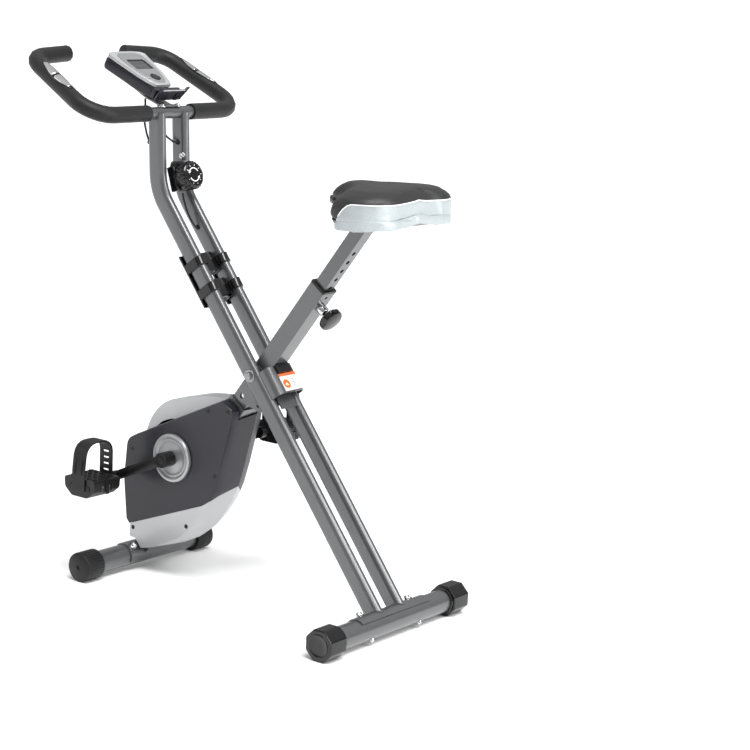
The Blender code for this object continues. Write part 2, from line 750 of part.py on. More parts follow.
CABLES = {
    # (x, z, y) marks from the console or the dial box into the twin tubes.
    "left_pulse_cable": [
        (0.664, 0.9905, 0.021), (0.662, 0.975, 0.023), (0.659, 0.950, 0.028),
        (0.650, 0.925, 0.031), (0.6395, 0.908, 0.034),
    ],
    "right_pulse_cable": [
        (0.664, 0.9905, -0.021), (0.666, 0.970, -0.019), (0.660, 0.942, -0.016),
        (0.642, 0.918, -0.0155), (0.622, 0.906, -0.0165), (0.6137, 0.9038, -0.0200),
        (0.6137, 0.9038, -0.0238),
    ],
    "tension_cable": [
        (0.580, 0.8040, -0.006), (0.576, 0.785, -0.008), (0.569, 0.762, -0.012),
        (0.559, 0.743, -0.0165), (0.5527, 0.7355, -0.0200), (0.5527, 0.7355, -0.0238),
    ],
}


def cables():
    for name, marks in CABLES.items():
        run = curve_through([place(x, z, y) for x, z, y in marks], 4)
        tube(name, run, 0.0022, BLACK_PLASTIC, BODY, 2)


# ---------------------------------------------------------------- seat frame

SEAT_SECTION = leaning(place(*PIVOT), SEAT_LEAN)


def square_tube(name, width, wall, low, high, paint, body):
    """Square tube along the seat tube's axis, open at both ends."""
    middle = SEAT_SECTION @ Matrix.Translation((0, 0, (low + high) / 2))
    made = box(name, (width, width, high - low), middle, paint, body)
    inside = width - 2 * wall
    return cut(made, box(name + "_inside", (inside, inside, high - low + 0.1), middle, STEEL, None))


def rearward():
    """World direction straight back from the seat tube's front face."""
    front = lean_front(SEAT_LEAN)
    return (-front[0], 0, -front[1])


def seat_tube():
    """Square tube with the pin's boss and a collar round its top."""
    made = square_tube(
        "seat_tube", SEAT_TUBE_WIDTH, SEAT_TUBE_WALL, SEAT_TUBE_BOTTOM, SEAT_TUBE_TOP,
        GREY_PAINT, "seat_frame",
    )
    aim = rearward()
    boss = cylinder(
        "pin_boss", 0.0095, 0.018, turn(place(*on_seat(POST_PIN_AT, -0.0265)), aim), STEEL, None
    )
    join(made, boss)
    bore = cylinder(
        "boss_bore", 0.0048, 0.040, turn(place(*on_seat(POST_PIN_AT, -0.030)), aim), STEEL, None, 16
    )
    spare = cylinder(
        "spare_hole", 0.0035, 0.02, turn(place(*on_seat(0.2288, -0.019)), aim), STEEL, None, 12
    )
    cut(made, bore, spare)
    drill(made, BOLT_RADIUS + GAP, PIVOT, -0.03, 0.03, 16)
    drill(made, LOCK_PIN_RADIUS + 0.0004, LOCK_HOLE, -0.03, 0.03, 16)

    square_tube(
        "seat_tube_collar", 0.0392, 0.0048, SEAT_TUBE_TOP + GAP, 0.2460, BLACK_PLASTIC, "seat_frame"
    )


def seat_post():
    made = square_tube(
        "seat_post", POST_WIDTH, POST_WALL, POST_BOTTOM, POST_TOP, GREY_PAINT, "seat_slide"
    )
    for i in range(-3, 7):
        at = place(*on_seat(POST_PIN_AT + i * POST_HOLE_PITCH, -0.015))
        hole = cylinder("post_hole_%d" % i, 0.0046, 0.012, turn(at, rearward()), STEEL, None, 12)
        cut(made, hole)
    top = Matrix.Translation(place(0.094, 0.8118)) @ Matrix.Rotation(-SADDLE_SLOPE, 4, "Y")
    cut(made, box("post_end", (0.12, 0.06, 0.06), top @ Matrix.Translation((0, 0, 0.030)), STEEL, None))
    join(made, box("saddle_plate", (0.068, 0.060, 0.004), top, STEEL, None))


def seat_pin():
    """Spring pin and knob; its tip waits in the seat tube's wall."""
    tip, boss = 0.0156, 0.0360
    profile = [(0.0, 0.0635), (0.0190, 0.0628), (0.0232, 0.0600), (0.0240, 0.0560)]
    profile += [(0.0236, 0.0490), (0.0195, 0.0450), (0.0085, 0.0420), (0.0070, 0.0385)]
    profile += [(0.0042, boss + 0.001), (0.0042, tip + 0.002)]
    profile += [(0.0030, tip), (0.0, tip)]
    matrix = turn(place(*on_seat(POST_PIN_AT)), rearward())
    turned("seat_pin", profile, matrix, BLACK_PLASTIC, "seat_frame", 20)


def loft(name, rings, paint, body, matrix):
    """Closed solid through rings of points, its end rings filled."""
    def build(bm):
        loops = [[bm.verts.new(p) for p in ring] for ring in rings]
        for one, two in zip(loops, loops[1:]):
            for i in range(len(one)):
                j = (i + 1) % len(one)
                bm.faces.new((one[i], one[j], two[j], two[i]))
        bm.faces.new(loops[0])
        bm.faces.new(loops[-1])

    return add(name, mesh_from(build), paint, body, matrix)


SADDLE = [
    # x from the rear foot's axis, half width, top, top edge, underside
    (-0.034, 0.072, 0.853, 0.849, 0.8085),
    (-0.030, 0.098, 0.859, 0.853, 0.8065),
    (-0.020, 0.118, 0.864, 0.853, 0.8030),
    (-0.002, 0.136, 0.869, 0.849, 0.7990),
    (0.024, 0.149, 0.870, 0.847, 0.797),
    (0.050, 0.153, 0.870, 0.843, 0.804),
    (0.069, 0.149, 0.870, 0.836, 0.810),
    (0.082, 0.127, 0.870, 0.835, 0.8128),
    (0.095, 0.088, 0.870, 0.840, 0.8157),
    (0.112, 0.058, 0.871, 0.848, 0.8194),
    (0.134, 0.042, 0.871, 0.853, 0.8238),
    (0.156, 0.034, 0.865, 0.850, 0.8284),
    (0.170, 0.025, 0.856, 0.846, 0.831),
    (0.178, 0.012, 0.846, 0.842, 0.834),
]
SADDLE_PAN = 0.008


def rear_notch(x, y):
    """How far the rear edge is drawn in between its two lobes."""
    start = SADDLE[0][0]
    return 0.015 * max(0.0, 1 - (y / 0.065) ** 2) * max(0.0, 1 - (x - start) / 0.050)


def saddle():
    """Wide saddle on a plastic pan, its rear edge in two lobes."""
    pan_rings, pad_rings = [], []
    for x, half, top, edge, low in SADDLE:
        seam = low + SADDLE_PAN
        rise = top - edge
        pad = [(0.30, seam + 2 * GAP), (0.62, seam + 2 * GAP), (0.94, seam + 2 * GAP)]
        pad += [(1.0, seam + 0.3 * (edge - seam)), (1.0, edge - 0.15 * (edge - seam))]
        pad += [(0.93, edge + 0.40 * rise), (0.70, edge + 0.85 * rise), (0.35, top)]
        pan = [(0.30, low), (0.60, low), (0.90, low), (0.94, seam), (0.62, seam), (0.30, seam)]
        for rings, side in ((pad_rings, pad), (pan_rings, pan)):
            left = [(x + rear_notch(x, y * half), y * half, z) for y, z in side]
            rings.append(left + [(a, -b, c) for a, b, c in left[::-1]])
    where = Matrix.Translation(place(0, 0))
    loft("saddle_pan", pan_rings, BLACK_PLASTIC, "seat_slide", where)
    loft("saddle_cushion", pad_rings, VINYL, "seat_slide", where)


def main_spine():
    """Tube from the seat tube's end to the front foot, with the crank housing."""
    top, foot = SEAT_TUBE_BOTTOM - GAP, -(PIVOT[1] - FOOT_Z) / math.cos(SEAT_LEAN)
    low = foot + 0.015
    middle = SEAT_SECTION @ Matrix.Translation((0, 0, (top + low) / 2))
    spine = box("main_spine", (0.038, 0.038, top - low), middle, GREY_PAINT, "seat_frame")
    sleeve = box(
        "spine_sleeve", (0.046, 0.046, 0.036),
        SEAT_SECTION @ Matrix.Translation((0, 0, -0.100)), STEEL, None,
    )
    housing = cross_cylinder("crank_housing", 0.0205, CRANK, -0.020, 0.036, STEEL, None)
    web_middle = SEAT_SECTION @ Matrix.Translation((0.024, 0, -0.2858))
    web = box("housing_web", (0.030, 0.020, 0.060), web_middle, STEEL, None)
    angle = math.degrees(SEAT_LEAN)
    ring = arc(FRONT_FOOT, FOOT_RADIUS + 0.003, 90 - angle - 80, 90 - angle + 80, 14)
    ring += arc(FRONT_FOOT, FOOT_RADIUS - 0.004, 90 - angle + 80, 90 - angle - 80, 14)
    shoe = side_plate("spine_shoe", [ring], -0.060, 0.060, STEEL, None)
    join(spine, sleeve, housing, web, shoe)
    seat_socket = box(
        "seat_socket", (SEAT_TUBE_WIDTH + 2 * GAP, SEAT_TUBE_WIDTH + 2 * GAP, 0.06),
        SEAT_SECTION @ Matrix.Translation((0, 0, SEAT_TUBE_BOTTOM - GAP / 2 + 0.03)), STEEL, None,
    )
    cut(spine, seat_socket)
    drill(spine, FOOT_RADIUS + GAP, FRONT_FOOT, -0.1, 0.1, 32)
    drill(spine, 0.0168, CRANK, -0.04, 0.05)
    drill(spine, 0.0075, FLYWHEEL, -0.03, 0.03, 16)


def front_foot():
    """Foot tube with a stub axle and a ribbed transport wheel at each end."""
    foot = cross_cylinder(
        "front_foot_tube", FOOT_RADIUS, FRONT_FOOT, -FRONT_TUBE_HALF, FRONT_TUBE_HALF,
        GREY_PAINT, "seat_frame", 32,
    )
    stub = cross_cylinder("stub_axle", 0.006, FRONT_FOOT, -0.1845, 0.1845, STEEL, None, 16)
    join(foot, stub)
    radius = FOOT_Z
    for name, side in (("front_wheel_left", 1), ("front_wheel_right", -1)):
        start = FRONT_TUBE_HALF + 0.0006
        end = FRONT_FOOT_HALF
        profile = [(0.0063, end - 0.003), (0.016, end), (0.025, end - 0.004)]
        profile += [(radius - 0.002, end - 0.010)]
        profile += [(radius, end - 0.014), (radius, start + 0.002)]
        profile += [(radius - 0.002, start), (0.0063, start)]
        turned(name, profile, turn(place(*FRONT_FOOT), (0, side, 0)), BLACK_PLASTIC, "seat_frame", 28, True)


# -------------------------------------------------------------------- casing

FRONT_EDGE = filleted([
    (0.674, 0.093, 0), (0.684, 0.104, 0.010), (0.6935, 0.195, 0.100),
    (0.6845, 0.2865, 0.030), (0.560, 0.344, 0),
], steps=3)
CASING_OUTLINE = [
    # Widest outline, counter-clockwise from the rear top corner.
    (0.414, 0.411), (0.383, 0.396), (0.377, 0.384), (0.382, 0.350), (0.393, 0.313),
    (0.406, 0.262), (0.421, 0.214), (0.438, 0.178), (0.462, 0.143), (0.490, 0.112),
    (0.524, 0.086), (0.565, 0.066), (0.612, 0.049), (0.636, 0.042), (0.654, 0.062),
    (0.674, 0.064), *FRONT_EDGE,
]
# Side-plane line between the dark upper covers and the pale lower covers.
COVER_LINE = [
    (0.300, 0.262), (0.352, 0.244), (0.415, 0.222), (0.440, 0.190), (0.462, 0.176),
    (0.680, 0.0935), (0.760, 0.064),
]


def shell(name, levels, paint):
    """Open-backed cover through rings (outline, y), the first one its face."""
    def build(bm):
        rows = [[bm.verts.new(place(x, z, y)) for x, z in outline] for outline, y in levels]
        bm.faces.new(rows[0])
        count = len(rows[0])
        for one, two in zip(rows, rows[1:]):
            for i in range(count):
                j = (i + 1) % count
                bm.faces.new((one[i], one[j], two[j], two[i]))

    mesh = mesh_from(build)
    made = add(name, mesh, paint, "seat_frame")
    facing = 1.0 if levels[0][1] > levels[-1][1] else -1.0
    face = max(mesh.polygons, key=lambda p: p.area)
    thick = made.modifiers.new("wall", "SOLIDIFY")
    thick.thickness = CASING_WALL
    thick.offset = -1.0 if face.normal.y * facing > 0 else 1.0
    thick.use_even_offset = True
    return made


def cover_region(name, side, above):
    """Prism on one side of the cover line and the seam, to split the covers."""
    shift = 0.0002 if above else -0.0002
    edge = [(x, z + shift) for x, z in COVER_LINE]
    far = 0.7 if above else -0.2
    outline = edge + [(edge[-1][0], far), (edge[0][0], far)]
    start = CASING_SEAM + side * GAP / 2
    return as_mesh(side_plate(name, [outline], start, start + side * 0.2, STEEL, None))


def hood_outline():
    """Crown over the crank pulley, from the front round to the bracket."""
    crown = arc(CRANK, 0.1185, 14.6, 80, 12)
    crown += [(0.535, 0.3885), (0.508, 0.3945), (0.475, 0.3985), (0.440, 0.4000)]
    return crown + [(0.432, 0.3975)]


def casing():
    hood_line = hood_outline()
    for side, face in ((1, CASING_LEFT), (-1, CASING_RIGHT)):
        for level in ("upper", "lower"):
            name = "%s_%s_cover" % ("left" if side > 0 else "right", level)
            paint = DARK_PLASTIC if level == "upper" else PALE_PLASTIC
            depth = abs(face - CASING_SEAM)
            rings = [
                (inset(CASING_OUTLINE, 0.0085), face),
                (inset(CASING_OUTLINE, 0.0070), face - side * 0.0020),
                (inset(CASING_OUTLINE, 0.0040), face - side * depth * 0.30),
                (CASING_OUTLINE, CASING_SEAM),
                (CASING_OUTLINE, CASING_SEAM - side * 0.002),
            ]
            cover = shell(name, rings, paint)
            combine(cover, "INTERSECT", cover_region(name + "_region", side, level == "upper"))
            drill(cover, 0.0125, CRANK, -0.1, 0.1)
            clearance = cross_cylinder(
                name + "_foot_gap", FOOT_RADIUS + 0.0055, FRONT_FOOT, -0.1, 0.1, STEEL, None, 32
            )
            cut(cover, clearance)
            foot_neck = box(
                name + "_foot_neck", (0.040, 0.040, 0.10),
                SEAT_SECTION @ Matrix.Translation((0, 0, -0.530)), STEEL, None,
            )
            cut(cover, foot_neck)
            if level == "upper":
                band = hull([(point, 0.0030) for point in hood_line], 8)
                opening = side_plate(
                    name + "_hood_gap", [band], HOOD_RIGHT - 0.0009, HOOD_LEFT + 0.0009, STEEL, None
                )
                cut(cover, opening)
                neck = box(
                    name + "_neck", (0.052, 0.052, 0.08),
                    SEAT_SECTION @ Matrix.Translation((0, 0, -0.098)), STEEL, None,
                )
                cut(cover, neck)

    count = len(hood_line)
    outer = hood_line
    shrunk = [(Vector(point) - Vector(CRANK)) * 0.985 + Vector(CRANK) for point in outer]
    levels = [(shrunk, HOOD_LEFT), (outer, HOOD_LEFT - 0.002)]
    levels += [(outer, HOOD_RIGHT + 0.002), (shrunk, HOOD_RIGHT)]

    def build(bm):
        rows = [[bm.verts.new(place(x, z, y)) for x, z in line] for line, y in levels]
        bm.faces.new(rows[0])
        bm.faces.new(rows[-1])
        for one, two in zip(rows, rows[1:]):
            for i in range(count - 1):
                bm.faces.new((one[i], one[i + 1], two[i + 1], two[i]))

    hood = add("pulley_hood", mesh_from(build), PALE_PLASTIC, "seat_frame")
    thick = hood.modifiers.new("wall", "SOLIDIFY")
    thick.thickness = 0.0022
    thick.offset = -1.0
    thick.use_even_offset = True
    vent = [(0.6266, 0.3116), (0.6130, 0.3225), (0.5996, 0.3285), (0.5880, 0.3325)]
    vent += [(0.5780, 0.3341), (0.5780, 0.3200), (0.6130, 0.3040), (0.6266, 0.2980)]
    cut(hood, side_plate("hood_vent", [vent], HOOD_LEFT - 0.006, HOOD_LEFT + 0.01, STEEL, None))


# --------------------------------------------------------------------- drive

def crank_end(side):
    reach = CRANK_LENGTH * side
    return (CRANK[0] + reach * math.cos(CRANK_ANGLE), CRANK[1] + reach * math.sin(CRANK_ANGLE))


def crank_bar(name, end, side):
    """The arm itself, which cranks outwards between its hub and its end."""
    along = Vector((end[0] - CRANK[0], end[1] - CRANK[1])).normalized()
    broad = Vector((-along.y, along.x))
    rings = []
    for i in range(7):
        t = i / 6
        eased = t * t * (3 - 2 * t)
        y = side * (ARM_HUB_Y + (ARM_END_Y - ARM_HUB_Y) * eased)
        wide, thick = 0.0125 - 0.0020 * t, 0.0058 - 0.0006 * t
        middle = Vector(CRANK) + along * CRANK_LENGTH * t
        ring = []
        for a, b in arc((0, 0), 1.0, 22.5, 337.5, 7):
            ring.append(place(*(middle + broad * wide * a), y + thick * b))
        rings.append(ring)
    return loft(name, rings, STEEL, None, Matrix.Identity(4))


def crank_set():
    axle_end = HUB_END - 0.004
    cross_cylinder("crank_axle", CRANK_AXLE_RADIUS, CRANK, -axle_end, axle_end, STEEL, "crank")
    for name, side in (("left_crank_disc", 1), ("right_crank_disc", -1)):
        face = CASING_LEFT if side > 0 else -CASING_RIGHT
        bore = CRANK_AXLE_RADIUS + GAP
        profile = [
            (bore, face + 0.0060), (0.017, face + 0.0060), (0.030, face + 0.0035),
            (DISC_RADIUS - 0.010, face + 0.0045), (DISC_RADIUS - 0.006, face + 0.0075),
            (DISC_RADIUS - 0.001, face + 0.0070), (DISC_RADIUS, face + 0.0050),
            (DISC_RADIUS, face + 0.0010), (bore, face + 0.0010),
        ]
        turned(name, profile, turn(place(*CRANK), (0, side, 0)), PALE_PLASTIC, "crank", 36, True)
    for name, side in (("left_crank_arm", 1), ("right_crank_arm", -1)):
        end = crank_end(side)
        inner = 0.0520 if side > 0 else 0.0580
        hub = cross_cylinder(
            name, HUB_RADIUS, CRANK, side * inner, side * HUB_END, BLACK_PLASTIC, "crank"
        )
        boss = cross_cylinder(name + "_boss", 0.012, end, side * 0.082, side * 0.096, STEEL, None)
        spindle_end = side * (PEDAL_Y + PEDAL_HALF - 0.003)
        spindle = cross_cylinder(
            name + "_spindle", 0.006, end, side * 0.090, spindle_end, STEEL, None, 16
        )
        join(hub, crank_bar(name + "_bar", end, side), boss, spindle)
        drill(hub, CRANK_AXLE_RADIUS + GAP, CRANK, side * 0.040, side * (axle_end + GAP), ROUND)
        drill(hub, 0.0095, CRANK, side * (HUB_END - 0.0015), side * (HUB_END + 0.01), ROUND)
    pulley = turn(place(*CRANK, y=PULLEY_Y), (0, 1, 0))
    rim = ring_profile(PULLEY_RADIUS, CRANK_AXLE_RADIUS + GAP, 0.006)
    turned("crank_pulley", rim, pulley, CAST_IRON, "crank", 48, True)
    cartridge = ring_profile(0.0165, CRANK_AXLE_RADIUS + GAP, 0.0280)
    bearing = turn(place(*CRANK, y=0.008), (0, 1, 0))
    turned("crank_bearing", cartridge, bearing, STEEL, "seat_frame", ROUND, True)


def pedals():
    """Two pedals, heavier below their spindles so that they hang level."""
    body = rounded([
        (-0.044, 0.013, 0.006), (-0.042, -0.010, 0.010), (-0.022, -0.026, 0.010),
        (0.022, -0.026, 0.010), (0.042, -0.010, 0.010), (0.044, 0.013, 0.006),
    ])
    for name, side in (("left_pedal", 1), ("right_pedal", -1)):
        end = crank_end(side)
        where = Matrix.Translation(place(*end, y=side * PEDAL_Y))
        upright = where @ Matrix.Rotation(math.pi / 2, 4, "X")
        pedal = as_mesh(flat(name, [body], 2 * PEDAL_HALF, upright, BLACK_PLASTIC, "crank"))
        soften(pedal, 0.003)
        inner, outer = PEDAL_Y - PEDAL_HALF - 0.01, PEDAL_Y + PEDAL_HALF - 0.0025
        drill(pedal, 0.0064, end, side * inner, side * outer, 16)
        line = filleted([
            (0.0407, -0.012, 0), (0.0407, 0.030, 0.050), (0.0340, 0.088, 0.030),
            (-0.0407, 0.088, 0.026), (-0.0407, 0.0075, 0),
        ])
        line += filleted([
            (-0.0377, 0.0075, 0), (-0.0377, 0.085, 0.023), (0.0310, 0.085, 0.027),
            (0.0377, 0.030, 0.047), (0.0377, -0.012, 0),
        ])
        line = [(side * a, b) for a, b in line]
        lying = where @ Matrix.Rotation(math.pi / 2, 4, "Z") @ Matrix.Rotation(math.pi / 2, 4, "X")
        strap = as_mesh(flat(name + "_strap", [line], 0.036, lying, RUBBER, "crank"))
        for level in (0.020, 0.033, 0.046, 0.059):
            slot = where @ Matrix.Translation((0, -side * 0.039, level))
            cut(strap, box("%s_slot_%d" % (name, level * 1000), (0.016, 0.02, 0.004), slot, STEEL, None))


def belt_outline(big, small, apart, steps=20):
    """Outline round two pulleys on one line, the second one apart ahead."""
    lean = math.degrees(math.acos((big - small) / apart))
    outline = arc((0.0, 0.0), big, lean, 360 - lean, steps * 2)
    return outline + arc((apart, 0.0), small, -lean, lean, steps // 2)


def flywheel():
    across_y = turn(place(*FLYWHEEL), (0, 1, 0))
    wheel = ring_profile(FLYWHEEL_RADIUS, 0.006 + GAP, 0.007)
    wheel_at = across_y @ Matrix.Translation((0, 0, FLYWHEEL_Y))
    turned("flywheel", wheel, wheel_at, CAST_IRON, "flywheel", 48, True)
    profile = [(0.0, 0.0385), (0.006, 0.0385), (0.006, -0.0235), (DRIVEN_RADIUS, -0.0235)]
    profile += [(DRIVEN_RADIUS, -0.0345), (0.006, -0.0345), (0.006, -0.040), (0.0, -0.040)]
    turned("flywheel_axle", profile, across_y, STEEL, "flywheel", ROUND)

    apart = math.dist(CRANK, FLYWHEEL)
    around = (GAP, GAP + BELT_THICKNESS)
    inner, outer = (belt_outline(PULLEY_RADIUS + g, DRIVEN_RADIUS + g, apart) for g in around)
    turned_by = math.atan2(FLYWHEEL[1] - CRANK[1], FLYWHEEL[0] - CRANK[0])
    stand = Matrix.Translation(place(*CRANK, y=PULLEY_Y)) @ Matrix.Rotation(math.pi / 2, 4, "X")
    stand = stand @ Matrix.Rotation(turned_by, 4, "Z")
    flat("drive_belt", [outer, inner], BELT_WIDTH, stand, RUBBER, "seat_frame")

    # The magnet bracket reaches over the rim, from its hinge towards the front.
    low, high = MAGNET_HINGE_AT - MAGNET_SPAN, MAGNET_HINGE_AT
    span = arc(FLYWHEEL, FLYWHEEL_RADIUS + 0.010, low, high, 10)
    span += arc(FLYWHEEL, FLYWHEEL_RADIUS + 0.003, high, low, 10)
    side_plate("magnet_bracket", [span], FLYWHEEL_Y - 0.009, FLYWHEEL_Y + 0.0085, STEEL, "magnet")


def lock_pin():
    """Ring-pull pin from the right through the seat tube's lower end."""
    tip = 0.0208
    profile = [(0.0, -0.0505), (0.0085, -0.0500), (0.0105, -0.0470), (0.0105, -0.0400)]
    profile += [(0.0060, -0.0360), (LOCK_PIN_RADIUS, -0.0350), (LOCK_PIN_RADIUS, tip - 0.001)]
    profile += [(LOCK_PIN_RADIUS - 0.001, tip), (0.0, tip)]
    turned("lock_pin", profile[::-1], turn(place(*LOCK_HOLE), (0, 1, 0)), CHROME, "seat_frame", 16)


twin_tube("left_frame_tube", 1)
twin_tube("right_frame_tube", -1)
rear_foot()
handlebar()
console()
tension_control()
bottle_holder()
latch_bracket()
fold_plate()
pivot_bolt()
cables()
seat_tube()
seat_post()
seat_pin()
saddle()
main_spine()
front_foot()
casing()
crank_set()
pedals()
flywheel()
lock_pin()
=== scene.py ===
"""Looks of the folding exercise bike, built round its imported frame.

World axes: +X is forward, +Y is the rider's left, +Z is up, in metres. Side
points are (x, z) pairs measured from the rear foot's axis, as in the part.
"""

import json
import math

import bmesh
import bpy
from mathutils import Matrix, Vector


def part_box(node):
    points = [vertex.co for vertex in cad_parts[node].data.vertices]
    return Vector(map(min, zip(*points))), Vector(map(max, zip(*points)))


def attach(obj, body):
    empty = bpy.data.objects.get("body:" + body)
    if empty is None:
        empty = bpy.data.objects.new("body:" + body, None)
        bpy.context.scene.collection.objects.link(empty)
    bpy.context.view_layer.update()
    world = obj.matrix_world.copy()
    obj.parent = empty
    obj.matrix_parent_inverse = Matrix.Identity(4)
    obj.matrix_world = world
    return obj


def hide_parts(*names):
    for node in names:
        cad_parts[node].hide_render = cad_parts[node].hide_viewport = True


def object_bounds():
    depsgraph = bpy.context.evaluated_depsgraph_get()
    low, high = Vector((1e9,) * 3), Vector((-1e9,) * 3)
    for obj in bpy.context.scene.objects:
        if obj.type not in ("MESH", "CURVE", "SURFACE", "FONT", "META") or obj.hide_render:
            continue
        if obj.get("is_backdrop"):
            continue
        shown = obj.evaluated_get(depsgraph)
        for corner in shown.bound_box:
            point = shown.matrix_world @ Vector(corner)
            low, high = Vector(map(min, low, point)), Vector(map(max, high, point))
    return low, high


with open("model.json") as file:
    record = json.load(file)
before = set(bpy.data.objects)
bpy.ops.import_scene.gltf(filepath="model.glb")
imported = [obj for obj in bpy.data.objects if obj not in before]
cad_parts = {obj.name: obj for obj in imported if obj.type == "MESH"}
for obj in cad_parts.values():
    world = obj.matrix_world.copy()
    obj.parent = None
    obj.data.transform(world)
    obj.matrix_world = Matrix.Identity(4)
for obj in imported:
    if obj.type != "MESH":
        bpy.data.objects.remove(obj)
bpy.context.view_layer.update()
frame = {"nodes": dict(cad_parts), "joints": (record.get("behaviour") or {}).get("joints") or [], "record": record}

ORIGIN_X = 0.406233
JOINTS = {joint["name"]: joint for joint in frame["joints"]}
PIVOT = Vector(JOINTS["fold"]["pos_m"])
CRANK = Vector(JOINTS["crank_spin"]["pos_m"])
TWIN_LEAN = math.radians(38.0)
SEAT_LEAN = math.radians(-36.8)
BAR_RISE = math.radians(26.7)
FACE_RISE = math.radians(27.6)
UPPER_LEAN = math.radians(2.8)
SIDES = (("left", 1), ("right", -1))
TUBE_SIDE = 0.0344  # from the middle plane to the middle of each twin tube
TUBE_INNER = 0.0244  # from the middle plane to a twin tube's inner face
FOOT_HEIGHT = 0.031  # of the middle of each foot tube
HANDLEBARS = "handlebar_frame"
SHARP = 38  # degrees between faces over which an edge stays sharp


def spot(x, z, y=0.0):
    """World position of a side point at the lateral distance y."""
    return Vector((x - ORIGIN_X, y, z))


def leaning(location, lean):
    """Matrix at location whose local Z leans forward from vertical."""
    return Matrix.Translation(location) @ Matrix.Rotation(lean, 4, "Y")


def turn(location, direction):
    """Matrix at location whose local Z points along direction."""
    return Matrix.Translation(location) @ Vector(direction).to_track_quat("Z", "Y").to_matrix().to_4x4()


def outward(centre, side, distance):
    """Matrix to one side of centre whose local Z points away from the middle."""
    return turn(centre + Vector((0, side * distance, 0)), (0, side, 0))


TWIN = leaning(PIVOT, TWIN_LEAN)
SEAT = leaning(PIVOT, SEAT_LEAN)
FOOT_DROP = PIVOT.z - FOOT_HEIGHT
REAR_FOOT = TWIN @ Vector((0, 0, -FOOT_DROP / math.cos(TWIN_LEAN)))
FRONT_FOOT = SEAT @ Vector((0, 0, -FOOT_DROP / math.cos(SEAT_LEAN)))
BEND = TWIN @ Vector((0, 0, 0.4365))
CROSS_BAR = leaning(BEND, UPPER_LEAN) @ Vector((0, 0, 0.1534))

# ----------------------------------------------------------------- materials


def new_material(name, colour, roughness, metallic=0.0, **sockets):
    made = bpy.data.materials.new(name)
    made.use_nodes = True
    shader = made.node_tree.nodes["Principled BSDF"]
    shader.inputs["Base Color"].default_value = (*colour, 1.0)
    shader.inputs["Roughness"].default_value = roughness
    shader.inputs["Metallic"].default_value = metallic
    for socket, value in sockets.items():
        shader.inputs[socket.replace("_", " ")].default_value = value
    return made, made.node_tree, shader


def noise(tree, scale, detail=3.0, stretch=None):
    """Noise over the object's own coordinates, in metres."""
    coords = tree.nodes.new("ShaderNodeTexCoord")
    source = coords.outputs["Object"]
    if stretch:
        mapping = tree.nodes.new("ShaderNodeMapping")
        mapping.inputs["Scale"].default_value = stretch
        tree.links.new(source, mapping.inputs["Vector"])
        source = mapping.outputs["Vector"]
    made = tree.nodes.new("ShaderNodeTexNoise")
    made.inputs["Scale"].default_value = scale
    made.inputs["Detail"].default_value = detail
    tree.links.new(source, made.inputs["Vector"])
    return made.outputs["Fac"]


def cells(tree, scale, feature="F1"):
    """Cell pattern over the object's own coordinates, in metres."""
    coords = tree.nodes.new("ShaderNodeTexCoord")
    made = tree.nodes.new("ShaderNodeTexVoronoi")
    made.feature = feature
    made.inputs["Scale"].default_value = scale
    tree.links.new(coords.outputs["Object"], made.inputs["Vector"])
    return made.outputs["Distance"]


def ramp(tree, value, low, high, start=0.3, end=0.7):
    """Colours from low to high as value goes from start to end."""
    made = tree.nodes.new("ShaderNodeValToRGB")
    made.color_ramp.elements[0].position = start
    made.color_ramp.elements[1].position = end
    made.color_ramp.elements[0].color = (*low, 1.0)
    made.color_ramp.elements[1].color = (*high, 1.0)
    tree.links.new(value, made.inputs["Fac"])
    return made.outputs["Color"]


def bump(tree, shader, height, distance, strength=1.0):
    """Adds a height to the shader's normal, over any bump already there."""
    made = tree.nodes.new("ShaderNodeBump")
    made.inputs["Distance"].default_value = distance
    made.inputs["Strength"].default_value = strength
    tree.links.new(height, made.inputs["Height"])
    if shader.inputs["Normal"].is_linked:
        tree.links.new(shader.inputs["Normal"].links[0].from_socket, made.inputs["Normal"])
    tree.links.new(made.outputs["Normal"], shader.inputs["Normal"])


def scaled(colour, by):
    return tuple(min(1.0, c * by) for c in colour)


SPECK_SCALE = 160.0  # of the small changes in roughness


def finish_with(name, colour, roughness, metallic=0.0, grain=None, tint=0.06, tint_scale=14.0,
                spread=0.03, stretch=None, **sockets):
    """Colour, roughness and fine relief that vary over the surface."""
    made, tree, shader = new_material(name, colour, roughness, metallic, **sockets)
    cloud = noise(tree, tint_scale, 4.0)
    mixed = ramp(tree, cloud, scaled(colour, 1 - tint), scaled(colour, 1 + tint))
    tree.links.new(mixed, shader.inputs["Base Color"])
    speck = noise(tree, SPECK_SCALE, 3.0, stretch)
    low, high = roughness - spread, roughness + spread
    tree.links.new(ramp(tree, speck, (low,) * 3, (high,) * 3), shader.inputs["Roughness"])
    if grain:
        scale, distance = grain
        bump(tree, shader, noise(tree, scale, 2.0, stretch), distance)
    return made


